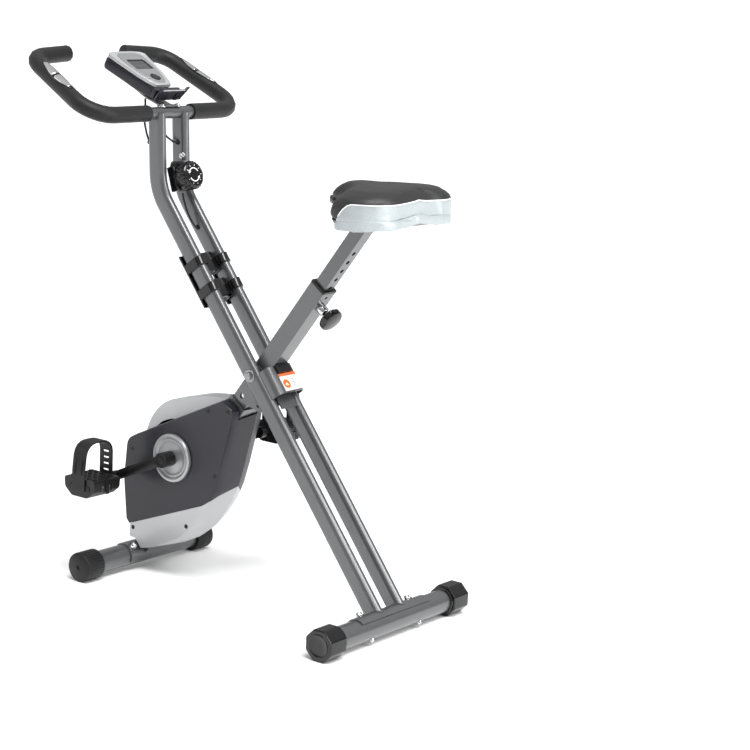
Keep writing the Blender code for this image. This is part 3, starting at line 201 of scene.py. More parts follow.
GREY_PAINT = finish_with("paint_grey_metallic", (0.118, 0.120, 0.123), 0.34, 0.62, None, 0.05,
                         Coat_Weight=0.5, Coat_Roughness=0.16)
CHROME = finish_with("polished_chrome", (0.62, 0.62, 0.63), 0.14, 1.0, (400, 0.000004), 0.03)
STEEL = finish_with("brushed_steel", (0.30, 0.30, 0.31), 0.34, 1.0, (260, 0.00003), 0.06,
                    stretch=(1.0, 12.0, 12.0))
CAST_IRON = finish_with("cast_iron", (0.09, 0.09, 0.092), 0.6, 0.7, (700, 0.0002), 0.15)
DARK_PLASTIC = finish_with("cover_violet_grey", (0.012, 0.011, 0.018), 0.34, 0.0, None, 0.05,
                           Specular_IOR_Level=0.35, Coat_Weight=0.15, Coat_Roughness=0.18)
SILVER_PLASTIC = finish_with("silver_plastic", (0.44, 0.450, 0.455), 0.34, 0.35, None, 0.03,
                             Coat_Weight=0.3, Coat_Roughness=0.12)
DISC_SILVER = finish_with("disc_silver", (0.40, 0.405, 0.41), 0.34, 0.75, None, 0.04)
BLACK_PLASTIC = finish_with("moulded_black", (0.004, 0.004, 0.0045), 0.34, 0.0, (2000, 0.000008), 0.12,
                            Specular_IOR_Level=0.35)
GLOSS_BLACK = finish_with("gloss_black", (0.004, 0.004, 0.0045), 0.14, 0.0, (1200, 0.000003), 0.10)
RUBBER = finish_with("black_rubber_skin", (0.008, 0.008, 0.0085), 0.44, 0.0, (1500, 0.00003), 0.15,
                     Specular_IOR_Level=0.3)
WHITE_TRIM = finish_with("white_trim", (0.86, 0.86, 0.85), 0.40, 0.0, (1500, 0.00002), 0.03)
ORANGE_INK = finish_with("orange_ink", (0.85, 0.14, 0.02), 0.45, 0.0, (1500, 0.00002), 0.05)
GREY_INK = finish_with("grey_ink", (0.30, 0.30, 0.31), 0.5, 0.0, (1500, 0.00002), 0.05)
LCD_GLASS = finish_with("lcd_grey", (0.040, 0.042, 0.043), 0.12, 0.0, None, 0.05, 40.0, 0.03,
                        Coat_Weight=0.5, Coat_Roughness=0.05)
LCD_INK = finish_with("lcd_segments", (0.030, 0.032, 0.032), 0.3, 0.0, (1500, 0.00002), 0.05)
WELD = finish_with("painted_weld", (0.115, 0.115, 0.12), 0.42, 0.5, (500, 0.0003), 0.10)


def foam():
    """Closed-cell grip foam: matt, faintly pitted."""
    colour = (0.008, 0.008, 0.0085)
    made = finish_with("grip_foam", colour, 0.50, 0.0, (1100, 0.00012), 0.15, Specular_IOR_Level=0.3)
    tree = made.node_tree
    shader = tree.nodes["Principled BSDF"]
    shader.inputs["Sheen Weight"].default_value = 0.05
    bump(tree, shader, cells(tree, 1400.0), 0.00010, 0.5)
    return made


def leather(name, colour, roughness, metallic, cell, depth, crease_shade):
    """Embossed vinyl: rounded cells with fine creases between them, the creases darkened with painted shade."""
    made = finish_with(name, colour, roughness, metallic, (1900, 0.00003), 0.06)
    tree = made.node_tree
    shader = tree.nodes["Principled BSDF"]
    shader.inputs["Sheen Weight"].default_value = 0.03
    edges = cells(tree, cell, "DISTANCE_TO_EDGE")
    # Painted shade: the colour is darkest in the creases between the cells and a little lighter on their tops.
    tone = ramp(tree, edges, scaled(colour, 1 - crease_shade), scaled(colour, 1 + 0.4 * crease_shade), 0.0, 0.25)
    tree.links.new(tone, shader.inputs["Base Color"])
    bump(tree, shader, ramp(tree, edges, (0, 0, 0), (1, 1, 1), 0.0, 0.22), depth)
    return made


FOAM = foam()
# The last number of each vinyl is the strength of the painted shade in its creases.
BLACK_VINYL = leather("saddle_black_vinyl", (0.013, 0.013, 0.0135), 0.42, 0.0, 900.0, 0.00006, 0.25)
PEARL_COLOUR = (0.41, 0.45, 0.465)
PEARL_VINYL = leather("saddle_pearl_vinyl", PEARL_COLOUR, 0.36, 0.3, 420.0, 0.00008, 0.14)


def pan_paint():
    """Saddle pan: pearl round its edge as the side cover is, black underneath and in front."""
    made = leather("saddle_pan_edge", PEARL_COLOUR, 0.36, 0.3, 420.0, 0.00008, 0.14)
    tree = made.node_tree
    shader = tree.nodes["Principled BSDF"]
    coords = tree.nodes.new("ShaderNodeTexCoord")
    masks = []
    for output, axis, operation, level in (("Normal", "Z", "GREATER_THAN", -0.6),
                                           ("Object", "X", "LESS_THAN", spot(0.062, 0).x)):
        parts = tree.nodes.new("ShaderNodeSeparateXYZ")
        tree.links.new(coords.outputs[output], parts.inputs["Vector"])
        test = tree.nodes.new("ShaderNodeMath")
        test.operation = operation
        test.inputs[1].default_value = level
        tree.links.new(parts.outputs[axis], test.inputs[0])
        masks.append(test.outputs["Value"])
    both = tree.nodes.new("ShaderNodeMath")
    both.operation = "MULTIPLY"
    for mask, socket in zip(masks, both.inputs):
        tree.links.new(mask, socket)
    mix = tree.nodes.new("ShaderNodeMix")
    mix.data_type = "RGBA"
    tree.links.new(both.outputs["Value"], mix.inputs["Factor"])
    mix.inputs["A"].default_value = (0.012, 0.012, 0.013, 1.0)
    tree.links.new(shader.inputs["Base Color"].links[0].from_socket, mix.inputs["B"])
    tree.links.new(mix.outputs["Result"], shader.inputs["Base Color"])
    return made


NODE_PAINT = {
    "grey_paint": GREY_PAINT, "chrome": CHROME, "steel": STEEL, "cast_iron": CAST_IRON,
    "dark_plastic": DARK_PLASTIC, "pale_plastic": SILVER_PLASTIC, "black_plastic": BLACK_PLASTIC,
    "black_foam": FOAM, "black_rubber": RUBBER, "black_vinyl": BLACK_VINYL, "lcd_glass": LCD_GLASS,
}
CLIPS = ["holder_clip_%s_%s" % (level, name) for level in ("upper", "lower") for name, _ in SIDES]
OWN_PAINT = {
    # Nodes whose finish differs from the rest of their slot.
    "saddle_pan": pan_paint(), "left_crank_disc": DISC_SILVER, "right_crank_disc": DISC_SILVER,
    "console_button": DARK_PLASTIC, "pivot_bolt": STEEL,
}
for glossy in (*CLIPS, "bottle_holder", "tension_box", "tension_dial", "seat_pin", "rear_foot_cap_left",
               "rear_foot_cap_right"):
    OWN_PAINT[glossy] = GLOSS_BLACK
SLOT_OF = {row["node"]: row["material_slot"] for row in frame["record"]["subparts"]}

# ------------------------------------------------------- carried-over nodes


def smoothing_group(limit):
    """Modifier group: smooth shading everywhere but at edges over limit."""
    group = bpy.data.node_groups.new("smooth_%d" % limit, "GeometryNodeTree")
    group.is_modifier = True
    for way in ("INPUT", "OUTPUT"):
        group.interface.new_socket("Geometry", in_out=way, socket_type="NodeSocketGeometry")
    start = group.nodes.new("NodeGroupInput")
    end = group.nodes.new("NodeGroupOutput")
    faces = group.nodes.new("GeometryNodeSetShadeSmooth")
    faces.domain = "FACE"
    edges = group.nodes.new("GeometryNodeSetShadeSmooth")
    edges.domain = "EDGE"
    edges.inputs["Shade Smooth"].default_value = False
    angle = group.nodes.new("GeometryNodeInputMeshEdgeAngle")
    over = group.nodes.new("FunctionNodeCompare")
    over.data_type = "FLOAT"
    over.operation = "GREATER_THAN"
    over.inputs[1].default_value = math.radians(limit)
    group.links.new(start.outputs[0], faces.inputs["Geometry"])
    group.links.new(faces.outputs["Geometry"], edges.inputs["Geometry"])
    group.links.new(angle.outputs["Unsigned Angle"], over.inputs[0])
    group.links.new(over.outputs[0], edges.inputs["Selection"])
    group.links.new(edges.outputs["Geometry"], end.inputs[0])
    return group


WIDE = 50  # the same for nodes whose arcs have few sides
SMOOTH_BY = {limit: smoothing_group(limit) for limit in (SHARP, WIDE)}
SOFT_EDGES = {}  # radius of each node's visibly rounded edges
for radius, rounded in (
    (0.0004, (*CLIPS, "left_pedal_strap", "right_pedal_strap", "console_bracket")),
    (0.0005, ("rear_foot_plate", "tension_dial")),
    (0.0006, ("pulley_hood", "fold_plate", "console_housing", "bottle_holder", "left_crank_arm",
              "right_crank_arm")),
    (0.0007, ("latch_bracket", "tablet_ledge", "console_button")),
    (0.0008, ("left_upper_cover", "right_upper_cover", "left_lower_cover", "right_lower_cover",
              "console_bezel")),
    (0.0010, ("seat_tube_collar",)),
    (0.0012, ("seat_tube", "seat_post", "main_spine")),
    (0.0020, ("rubber_stop",)),
):
    for rounded_node in rounded:
        SOFT_EDGES[rounded_node] = radius
WELD_DISTANCE = 0.00001
WIDE_ARCS = (*CLIPS, "left_frame_tube", "right_frame_tube")


def dress(name, node):
    """Material, welded and rounded edges, and smooth shading of a CAD node."""
    node.material_slots[0].material = OWN_PAINT.get(name, NODE_PAINT[SLOT_OF[name]])
    flat_normals = node.data.attributes.get("custom_normal")
    if flat_normals:
        node.data.attributes.remove(flat_normals)
    weld = node.modifiers.new("weld", "WELD")
    weld.merge_threshold = WELD_DISTANCE
    if name in SOFT_EDGES:
        edge = node.modifiers.new("edge", "BEVEL")
        edge.width = SOFT_EDGES[name]
        edge.segments = 2
        edge.limit_method = "ANGLE"
        edge.angle_limit = math.radians(SHARP)
        edge.harden_normals = False
    shade = node.modifiers.new("shade", "NODES")
    shade.node_group = SMOOTH_BY[WIDE if name in WIDE_ARCS else SHARP]
    level = node.modifiers.new("level", "WEIGHTED_NORMAL")
    level.keep_sharp = True
    level.weight = 80


for node_name, node_object in frame["nodes"].items():
    dress(node_name, node_object)

# --------------------------------------------------------------- new pieces


def new_object(name, data):
    made = bpy.data.objects.new(name, data)
    bpy.context.scene.collection.objects.link(made)
    return made


def piece(name, data, paint, body, matrix=None):
    """A new piece of the object, riding on a body."""
    made = new_object(name, data)
    data.materials.clear()
    data.materials.append(paint)
    if matrix is not None:
        made.matrix_world = matrix
    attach(made, body)
    return made


def shape(build, limit=SHARP):
    """A smooth-shaded mesh made by build(bm), sharp at edges over limit."""
    bm = bmesh.new()
    build(bm)
    bmesh.ops.recalc_face_normals(bm, faces=bm.faces)
    mesh = bpy.data.meshes.new("shape")
    bm.to_mesh(mesh)
    bm.free()
    mesh.shade_smooth()
    mesh.set_sharp_from_angle(angle=math.radians(limit))
    return mesh


def rings_about_z(bm, rows, steps, wave=None):
    """A ring of vertices for each (radius, height) row; wave(i) adds to the radius."""
    rings = []
    for radius, height in rows:
        if radius < 1e-7:
            rings.append([bm.verts.new((0, 0, height))] * steps)
            continue
        ring = []
        for i in range(steps):
            a = 2 * math.pi * i / steps
            r = radius + wave(i) if wave else radius
            ring.append(bm.verts.new((r * math.cos(a), r * math.sin(a), height)))
        rings.append(ring)
    return rings


def bridge(bm, rings):
    """Faces between each ring and the next."""
    for one, two in zip(rings, rings[1:]):
        steps = len(one)
        for i in range(steps):
            j = (i + 1) % steps
            corners = list(dict.fromkeys((one[i], one[j], two[j], two[i])))
            if len(corners) > 2:
                bm.faces.new(corners)


def lathe(profile, steps=40, closed=False):
    """Mesh of a (radius, height) profile turned about Z."""
    def build(bm):
        rings = rings_about_z(bm, profile, steps)
        bridge(bm, rings + rings[:1] if closed else rings)

    return shape(build)


def rippled(rows, steps, wave):
    """Turned band whose radii rise and fall round it by wave(i)."""
    def build(bm):
        bridge(bm, rings_about_z(bm, rows, steps, wave))

    return shape(build)


def new_curve(name, dimensions, bevel, sides):
    curve = bpy.data.curves.new(name, "CURVE")
    curve.dimensions = dimensions
    curve.bevel_depth = bevel
    curve.bevel_resolution = sides
    return curve


def add_line(curve, points, cyclic=True):
    """Adds straight runs through the points to a curve."""
    spline = curve.splines.new("POLY")
    spline.points.add(len(points) - 1)
    for point, where in zip(spline.points, points):
        point.co = (*where, 1.0)
    spline.use_cyclic_u = cyclic
    return spline


def sweep(name, points, radius, paint, body, cyclic=False, sides=3):
    """A round bar along world points."""
    curve = new_curve(name, "3D", radius, sides)
    curve.use_fill_caps = True
    add_line(curve, points, cyclic)
    return piece(name, curve, paint, body)


def slab(name, outlines, thickness, matrix, paint, body, bevel=0.0):
    """Flat shape in local XY, standing from z 0 to thickness."""
    curve = new_curve(name, "2D", bevel, 2)
    curve.fill_mode = "BOTH"
    curve.extrude = thickness / 2 - bevel
    curve.offset = -bevel
    for outline in outlines:
        add_line(curve, [(a, b, 0.0) for a, b in outline])
    return piece(name, curve, paint, body, matrix @ Matrix.Translation((0, 0, thickness / 2)))


def arc(centre, radius, start, end, steps):
    """Points of an arc between two angles in degrees."""
    points = []
    for i in range(steps + 1):
        a = math.radians(start + (end - start) * i / steps)
        points.append((centre[0] + radius * math.cos(a), centre[1] + radius * math.sin(a)))
    return points


def rounded_box(half_a, half_b, radius, steps=4):
    """Outline of a rectangle with round corners."""
    outline = []
    for a, b, start in ((1, 1, 0), (-1, 1, 90), (-1, -1, 180), (1, -1, 270)):
        centre = (a * (half_a - radius), b * (half_b - radius))
        outline += arc(centre, radius, start, start + 90, steps)
    return outline


def bolt(name, where, direction, radius, height, paint, body, socket=True):
    """Domed bolt head on a washer, with a hexagon socket."""
    washer = 1.45 * radius
    profile = [(washer, 0.0), (washer, 0.0012), (radius * 1.02, 0.0014), (radius, 0.0016)]
    profile += [(radius, height * 0.55), (radius * 0.86, height * 0.85), (radius * 0.55, height)]
    if socket:
        profile += [(radius * 0.45, height), (radius * 0.42, height * 0.45), (0.0, height * 0.40)]
    else:
        profile += [(0.0, height * 1.02)]
    return piece(name, lathe(profile, 24), paint, body, turn(where, direction))


def screw_well(name, where, direction, radius, body):
    """Recessed cover screw: a dark well with a cross-slotted head in it."""
    profile = [(radius * 1.15, 0.0), (radius * 1.10, 0.0005), (radius, 0.0005), (radius * 0.9, 0.00015)]
    profile += [(radius * 0.62, 0.00015), (radius * 0.55, 0.0005), (0.0, 0.0006)]
    return piece(name, lathe(profile, 24), BLACK_PLASTIC, body, turn(where, direction))


def surface_point(node, origin, direction):
    """Where a ray meets a CAD node, and the normal there."""
    hit, where, normal, _ = frame["nodes"][node].ray_cast(origin, direction)
    return (where, normal) if hit else (None, None)


# -------------------------------------------------------------------- saddle

SADDLE_MIDDLE = spot(0.0, 0.0)  # the saddle's angles are measured round it
SEAM_FRONT = 65.0  # degrees from straight ahead to the pearl panel's front tip
PUFF_LIMIT = 0.0045
PUFF_FRAMES = 20
RAY_START = 0.35  # outside the saddle all round
SIDE_LOW = 0.785  # below the lowest edge of the pan
SIDE_STEP = 0.0015
SIDE_STEPS = 74


def seam_height(angle):
    """Height of the seam between top and side panel, angle 0..180 degrees."""
    t = max(0.0, min(1.0, (angle - SEAM_FRONT) / 15.0))
    rise = t * t * (3 - 2 * t)
    back = max(0.0, (angle - 110.0) / 70.0)
    return 0.806 + 0.042 * rise + 0.004 * back


def bake_modifiers(obj):
    """Puts the object's modifiers into its mesh."""
    bpy.context.view_layer.update()
    graph = bpy.context.evaluated_depsgraph_get()
    mesh = bpy.data.meshes.new_from_object(obj.evaluated_get(graph))
    obj.modifiers.clear()
    obj.data = mesh


def from_middle(point, out):
    """How far a point is from SADDLE_MIDDLE along a level direction."""
    return (point - SADDLE_MIDDLE).dot(out)


def level_ray(mesh_object, angle, height):
    """Where a level ray towards SADDLE_MIDDLE meets the object, and the normal."""
    out = direction_at(angle)
    start = SADDLE_MIDDLE + out * RAY_START + Vector((0, 0, height))
    hit, where, normal, _ = mesh_object.ray_cast(start, -out)
    return (where, normal) if hit else (None, None)


def direction_at(angle):
    """Level direction at an angle in degrees from straight ahead."""
    return Vector((math.cos(math.radians(angle)), math.sin(math.radians(angle)), 0))


def puff_out(pad):
    """Swells the pad as filled cloth, held at its foot and to PUFF_LIMIT."""
    rest = [v.co.copy() for v in pad.data.vertices]
    low = min(p.z for p in rest)
    puff = pad.modifiers.new("puff", "CLOTH")
    puff.settings.quality = 5
    puff.settings.use_pressure = True
    puff.settings.uniform_pressure_force = 4.0
    puff.settings.effector_weights.gravity = 0.0
    puff.point_cache.frame_start = 1
    puff.point_cache.frame_end = PUFF_FRAMES
    for step in range(1, PUFF_FRAMES + 1):
        bpy.context.scene.frame_set(step)
    bake_modifiers(pad)
    bpy.context.scene.frame_set(1)
    for vertex, before in zip(pad.data.vertices, rest):
        moved = vertex.co - before
        free = max(0.0, min(1.0, (before.z - low - 0.004) / 0.018))
        if moved.length > PUFF_LIMIT * free:
            moved = moved.normalized() * (PUFF_LIMIT * free)
        vertex.co = before + moved


def saddle_pad():
    """Padded top: black above the seam, pearl on the sides."""
    pad = new_object("saddle_pad", frame["nodes"]["saddle_cushion"].data.copy())
    weld = pad.modifiers.new("weld", "WELD")
    weld.merge_threshold = WELD_DISTANCE
    remesh = pad.modifiers.new("remesh", "REMESH")
    remesh.mode = "VOXEL"
    remesh.voxel_size = 0.005
    ease = pad.modifiers.new("ease", "SMOOTH")
    ease.factor = 0.5
    ease.iterations = 10
    bake_modifiers(pad)
    puff_out(pad)
    finer = pad.modifiers.new("finer", "SUBSURF")
    finer.levels = finer.render_levels = 1
    bake_modifiers(pad)
    pad.data.materials.clear()
    pad.data.materials.append(BLACK_VINYL)
    pad.data.materials.append(PEARL_VINYL)
    for face in pad.data.polygons:
        away = face.center - SADDLE_MIDDLE
        angle = math.degrees(abs(math.atan2(away.y, away.x)))
        on_panel = angle > SEAM_FRONT and face.center.z < seam_height(angle)
        face.material_index = 1 if on_panel else 0
        face.use_smooth = True
    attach(pad, "seat")
    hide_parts("saddle_cushion")
    return pad


def saddle_piping_highlight(pad):
    """Piping cord along the seam, drawn white as a painted highlight along the seam's edge."""
    steps = 90
    line = []
    for i in range(steps + 1):
        angle = SEAM_FRONT + (360 - 2 * SEAM_FRONT) * i / steps
        folded = angle if angle <= 180 else 360 - angle
        where, normal = level_ray(pad, angle, seam_height(folded))
        if where is not None:
            line.append(where + normal * 0.0004)
    # Painted highlight: the cord is white to stand for the bright line along the seam.
    sweep("saddle_piping_highlight", line, 0.0011, WHITE_TRIM, "seat")


def side_marks(mesh_object, angle):
    """Points of the object's side at an angle, from the bottom up."""
    out = direction_at(angle)
    found = []
    for k in range(SIDE_STEPS):
        where, _ = level_ray(mesh_object, angle, SIDE_LOW + SIDE_STEP * k)
        if where is not None and from_middle(where, out) > 0.02:
            found.append(where)
    return found


def saddle_skirt(pad):
    """Side cover drawn down over the pan's edge, bridging the joint."""
    pan = frame["nodes"]["saddle_pan"]
    steps = 60
    columns = []
    for i in range(steps + 1):
        angle = SEAM_FRONT + 2 + (356 - 2 * SEAM_FRONT) * i / steps
        out = direction_at(angle)
        below = side_marks(pan, angle)
        above = side_marks(pad, angle)
        if len(below) < 2 or len(above) < 8:
            continue
        reach = max(from_middle(mark, out) for mark in below)
        marks = (below[0], below[len(below) // 2], above[4], above[6])
        column = []
        for mark, least in zip(marks, (0.0, 0.0016, 0.0010, -0.010)):
            column.append(mark + out * max(0.0007, reach + least - from_middle(mark, out)))
        columns.append(column)

    def build(bm):
        rows = [[bm.verts.new(point) for point in column] for column in columns]
        for one, two in zip(rows, rows[1:]):
            for k in range(3):
                bm.faces.new((one[k], two[k], two[k + 1], one[k + 1]))

    cover = shape(build)
    for face in cover.polygons:
        face.use_smooth = True
    made = piece("saddle_skirt", cover, PEARL_VINYL, "seat")
    thick = made.modifiers.new("thick", "SOLIDIFY")
    thick.thickness = 0.0008
    thick.offset = 0.0
    round_off = made.modifiers.new("round", "SUBSURF")
    round_off.levels = round_off.render_levels = 1


def saddle():
    pad = saddle_pad()
    saddle_piping_highlight(pad)
    saddle_skirt(pad)
    for name, side in SIDES:
        bolt("saddle_nut_%s" % name, spot(0.074, 0.8060, side * 0.022), (0.22, 0, -1), 0.0055, 0.006,
             CHROME, "seat", False)


saddle()

# -------------------------------------------------- handlebar frame's pieces

SENSOR = (0.079, 0.184)  # ends of each pulse sensor along its grip arm
GRIP_ARM = (0.226, 0.217, 0.192)  # its length, and its lateral place at each end


def on_bar(along, lateral, lift=0.0):
    """World point in the handlebar's sloping plane, lifted off it."""
    c, s = math.cos(BAR_RISE), math.sin(BAR_RISE)
    return CROSS_BAR + Vector((along * c - lift * s, lateral, along * s + lift * c))


def grip_shell(name, side, start, end, middle, half, radius, thick, paint):
    """Shell on a grip arm between two places, its width that of a pointed oval."""
    length, near, far = GRIP_ARM
    rows = []
    for i in range(17):
        along = start + (end - start) * i / 16
        where = (along - SENSOR[0]) / (SENSOR[1] - SENSOR[0])
        width = half * max(0.05, math.sin(math.pi * min(max(where, 0.02), 0.98))) ** 0.6
        lateral = near + (far - near) * along / length
        centre = on_bar(along, side * lateral)
        across = Vector((0, side, 0))
        up = on_bar(0, 0, 1) - on_bar(0, 0)
        ring = []
        for k in range(11):
            a = math.radians(middle + (k - 5) / 5 * width)
            edge = 0.0004 if k in (0, 10) or i in (0, 16) else 0.0
            ring.append(centre + (across * math.cos(a) + up * math.sin(a)) * (radius - edge))
        rows.append(ring)

    def build(bm):
        grid = [[bm.verts.new(p) for p in ring] for ring in rows]
        for one, two in zip(grid, grid[1:]):
            for k in range(10):
                bm.faces.new((one[k], one[k + 1], two[k + 1], two[k]))

    made = piece(name, shape(build, 60), paint, HANDLEBARS)
    wall = made.modifiers.new("wall", "SOLIDIFY")
    wall.thickness = thick
    wall.offset = 0.0
    return made


def grips():
    """Pulse sensors on dark seats, and the closed end of each grip."""
    for name, side in SIDES:
        grip_shell("%s_sensor_seat" % name, side, 0.079, 0.184, 80, 46, 0.0172, 0.0010, GLOSS_BLACK)
        for end, start, stop in (("rear", 0.085, 0.1295), ("front", 0.1355, 0.178)):
            plate = grip_shell("%s_sensor_%s" % (name, end), side, start, stop, 80, 37, 0.0179, 0.0008,
                               CHROME)
        tip = on_bar(0.238, side * 0.082)
        before = on_bar(GRIP_ARM[0], side * GRIP_ARM[2])
        out = (tip - before).normalized()
        cap = [(0.0, 0.0040), (0.0090, 0.0036), (0.0150, 0.0016), (0.0166, -0.0020)]
        piece("%s_grip_end" % name, lathe(cap, 32), FOAM, HANDLEBARS, turn(grip_tip(name, out), out))


def grip_tip(name, out):
    """Middle of the flat end of a grip's foam."""
    node = frame["nodes"]["%s_grip" % name]
    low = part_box("%s_grip" % name)[0].z
    flat = [v.co for v in node.data.vertices if abs(v.co.y) < 0.115 and v.co.z > low + 0.06]
    furthest = max(p.dot(out) for p in flat)
    tip = [p for p in flat if p.dot(out) > furthest - 0.0002]
    return sum(tip, Vector()) / len(tip)


def console():
    """Face of the console: panel, display, button ring, rim and ledge."""
    face = Matrix.Translation(spot(0.616, 1.004)) @ Matrix.Rotation(-FACE_RISE, 4, "Y")
    top = 0.0063  # height of the bezel over the face
    lcd_at = 0.100  # along the face from its lower end
    button_at = 0.050
    # Raised inner panel, pointed towards the ledge, open over display and button.
    half = [(0.030, 0.0090), (0.036, 0.0165), (0.048, 0.0225), (0.068, 0.0290), (0.095, 0.0345)]
    half += [(0.122, 0.0360), (0.136, 0.0330), (0.1435, 0.0240)]
    drop = half + [(a, -b) for a, b in half[::-1]]
    window = [(lcd_at + a, b) for a, b in rounded_box(0.0185, 0.0255, 0.002)]
    button = arc((button_at, 0), 0.0112, 0, 345, 23)
    slab("console_panel", [drop, window, button], 0.0016, face @ Matrix.Translation((0, 0, top - 0.0002)),
         DISC_SILVER, HANDLEBARS, 0.0005)
    frame_at = face @ Matrix.Translation((lcd_at, 0, top - 0.0004))
    slab("display_surround", [rounded_box(0.0182, 0.0252, 0.002), rounded_box(0.0158, 0.0228, 0.0015)],
         0.0011, frame_at, DARK_PLASTIC, HANDLEBARS, 0.0003)
    glass = face @ Matrix.Translation((lcd_at, 0, 0.0058))
    for row, height in ((0.006, 0.0085), (-0.009, 0.0050)):
        for k in range(4):
            digit = glass @ Matrix.Translation((row, 0.0135 - 0.0090 * k, 0))
            half_a, half_b = height / 2, height / 4
            slab("lcd_digit_%d_%d" % (round(row * 1000), k),
                 [rounded_box(half_a, half_b, 0.0006), rounded_box(half_a - 0.0009, half_b - 0.0009, 0.0003)],
                 0.00012, digit, LCD_INK, HANDLEBARS)
    for k in range(5):
        dash = face @ Matrix.Translation((0.0755, 0.0160 - 0.0080 * k, top + 0.0014))
        slab("panel_dash_%d" % k, [rounded_box(0.0007, 0.0026, 0.0004)], 0.00012, dash, GREY_INK, HANDLEBARS)
    ring_at = face @ Matrix.Translation((button_at, 0, top - 0.0003))
    ring = lathe([(0.0118, 0.0), (0.0116, 0.0022), (0.0106, 0.0026), (0.0098, 0.0018), (0.0096, -0.0004),
                  (0.0118, -0.0004)], 40, True)
    piece("button_ring", ring, GLOSS_BLACK, HANDLEBARS, ring_at)
    rim = [(0.024, 0.0205), (0.040, 0.0285), (0.064, 0.0362), (0.091, 0.0412), (0.118, 0.0465),
           (0.139, 0.0500), (0.1475, 0.0420), (0.1505, 0.0180)]
    rim += [(a, -b) for a, b in rim[::-1]]
    line = [face @ Vector((a, b, top - 0.0003)) for a, b in rim]
    sweep("bezel_rim", line, 0.0011, SILVER_PLASTIC, HANDLEBARS, True)
    ledge(face)
    for name, side in SIDES:
        where = CROSS_BAR + Vector((-0.002, side * 0.0215, 0.0125))
        bolt("bar_bolt_%s" % name, where, (0, 0, 1), 0.0052, 0.0055, CHROME, HANDLEBARS)


def ledge(face):
    """Sill across the face's lower end and a lipped front with two prongs."""
    sill = slab("ledge_sill", [[(a + 0.010, b) for a, b in rounded_box(0.005, 0.037, 0.001)]], 0.020,
                face @ Matrix.Translation((0, 0, -0.016)), DARK_PLASTIC, HANDLEBARS, 0.0006)
    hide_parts("tablet_ledge")
    up = Vector((-0.284, 0, 0.959))
    stand = face @ Matrix((
        (up.x, 0, -up.z, 0.0030),
        (0, 1, 0, 0),
        (up.z, 0, up.x, -0.0155),
        (0, 0, 0, 1),
    ))
    outline = [(0, -0.037), (0.0360, -0.0410), (0.0365, -0.0335), (0.0285, -0.0315)]
    outline += [(a, -b) for a, b in outline[::-1]]
    slab("ledge_front", [outline], 0.0035, stand, DARK_PLASTIC, HANDLEBARS, 0.0006)
    lip = [stand @ Vector((0.0285, b, 0.0030)) for b in (-0.0315, 0.0315)]
    sweep("ledge_lip", lip, 0.0012, SILVER_PLASTIC, HANDLEBARS)
    for k, b in enumerate((-0.0350, -0.0285, 0.0285, 0.0350)):
        rib = [stand @ Vector((a, b, 0.0036)) for a in (0.002, 0.0250)]
        sweep("ledge_rib_%d" % k, rib, 0.0011, DARK_PLASTIC, HANDLEBARS)
    clip = stand @ Matrix.Translation((0.0110, -0.0190, 0.0030))
    slab("ledge_clip", [rounded_box(0.0095, 0.0055, 0.0020)], 0.0032, clip, GLOSS_BLACK, HANDLEBARS, 0.0008)


def dial():
    """Ribbed tension dial with ticks and two arrows, no lettering."""
    joint = JOINTS["tension_turn"]
    axis = Vector(joint["axis"])
    base = turn(Vector(joint["pos_m"]), axis)

    def ribs(i):
        return 0.0009 * (1 if i % 5 in (0, 1) else -0.6)

    rows = ((0.0272, 0.0030), (0.0286, 0.0040), (0.0286, 0.0225), (0.0272, 0.0245))
    piece("dial_ribs", rippled(rows, 120, ribs), GLOSS_BLACK, "tension_dial", base)
    top = base @ Matrix.Translation((0, 0, 0.0265))
    rim = lathe([(0.0252, -0.0004), (0.0252, 0.0008), (0.0240, 0.0014), (0.0226, 0.0008),
                 (0.0222, -0.0004)], 60)
    piece("dial_rim", rim, GLOSS_BLACK, "tension_dial", top)
    for k in range(9):
        round_to = Matrix.Rotation(math.radians(-150 + 37.5 * k), 4, "Z")
        tick = top @ round_to @ Matrix.Translation((0.0193, 0, 0))
        slab("dial_tick_%d" % k, [rounded_box(0.0006 + 0.00016 * k, 0.0006, 0.0003)], 0.0003, tick,
             WHITE_TRIM, "tension_dial")
    for k in range(2):
        start = 28 + 180 * k
        band = arc((0, 0), 0.0146, start, start + 118, 18) + arc((0, 0), 0.0126, start + 118, start, 18)
        slab("dial_arc_%d" % k, [band], 0.0003, top, WHITE_TRIM, "tension_dial")
        a = math.radians(start + 118)
        along = Vector((-math.sin(a), math.cos(a)))
        out = Vector((math.cos(a), math.sin(a)))
        root = out * 0.0136
        head = [root + out * 0.0034, root + along * 0.0062, root - out * 0.0034]
        slab("dial_arrow_%d" % k, [[tuple(p) for p in head]], 0.0003, top, WHITE_TRIM, "tension_dial")


def dial_flange():
    """Pressed flange over the box, between the twin tubes, and its screws."""
    stand = leaning(spot(0.5880, 0.8635, 0.0), math.radians(-20)) @ Matrix.Rotation(-math.pi / 2, 4, "Y")
    slab("dial_flange", [rounded_box(0.0065, 0.0238, 0.002)], 0.0016, stand, STEEL, HANDLEBARS, 0.0004)
    for k, (x, z) in enumerate(((0.5965, 0.8800), (0.6035, 0.8765))):
        bolt("flange_screw_%d" % k, spot(x, z, -TUBE_INNER), (0, 1, 0), 0.0032, 0.0030, CHROME, HANDLEBARS)


LEAD_DIAMETER = 0.0042


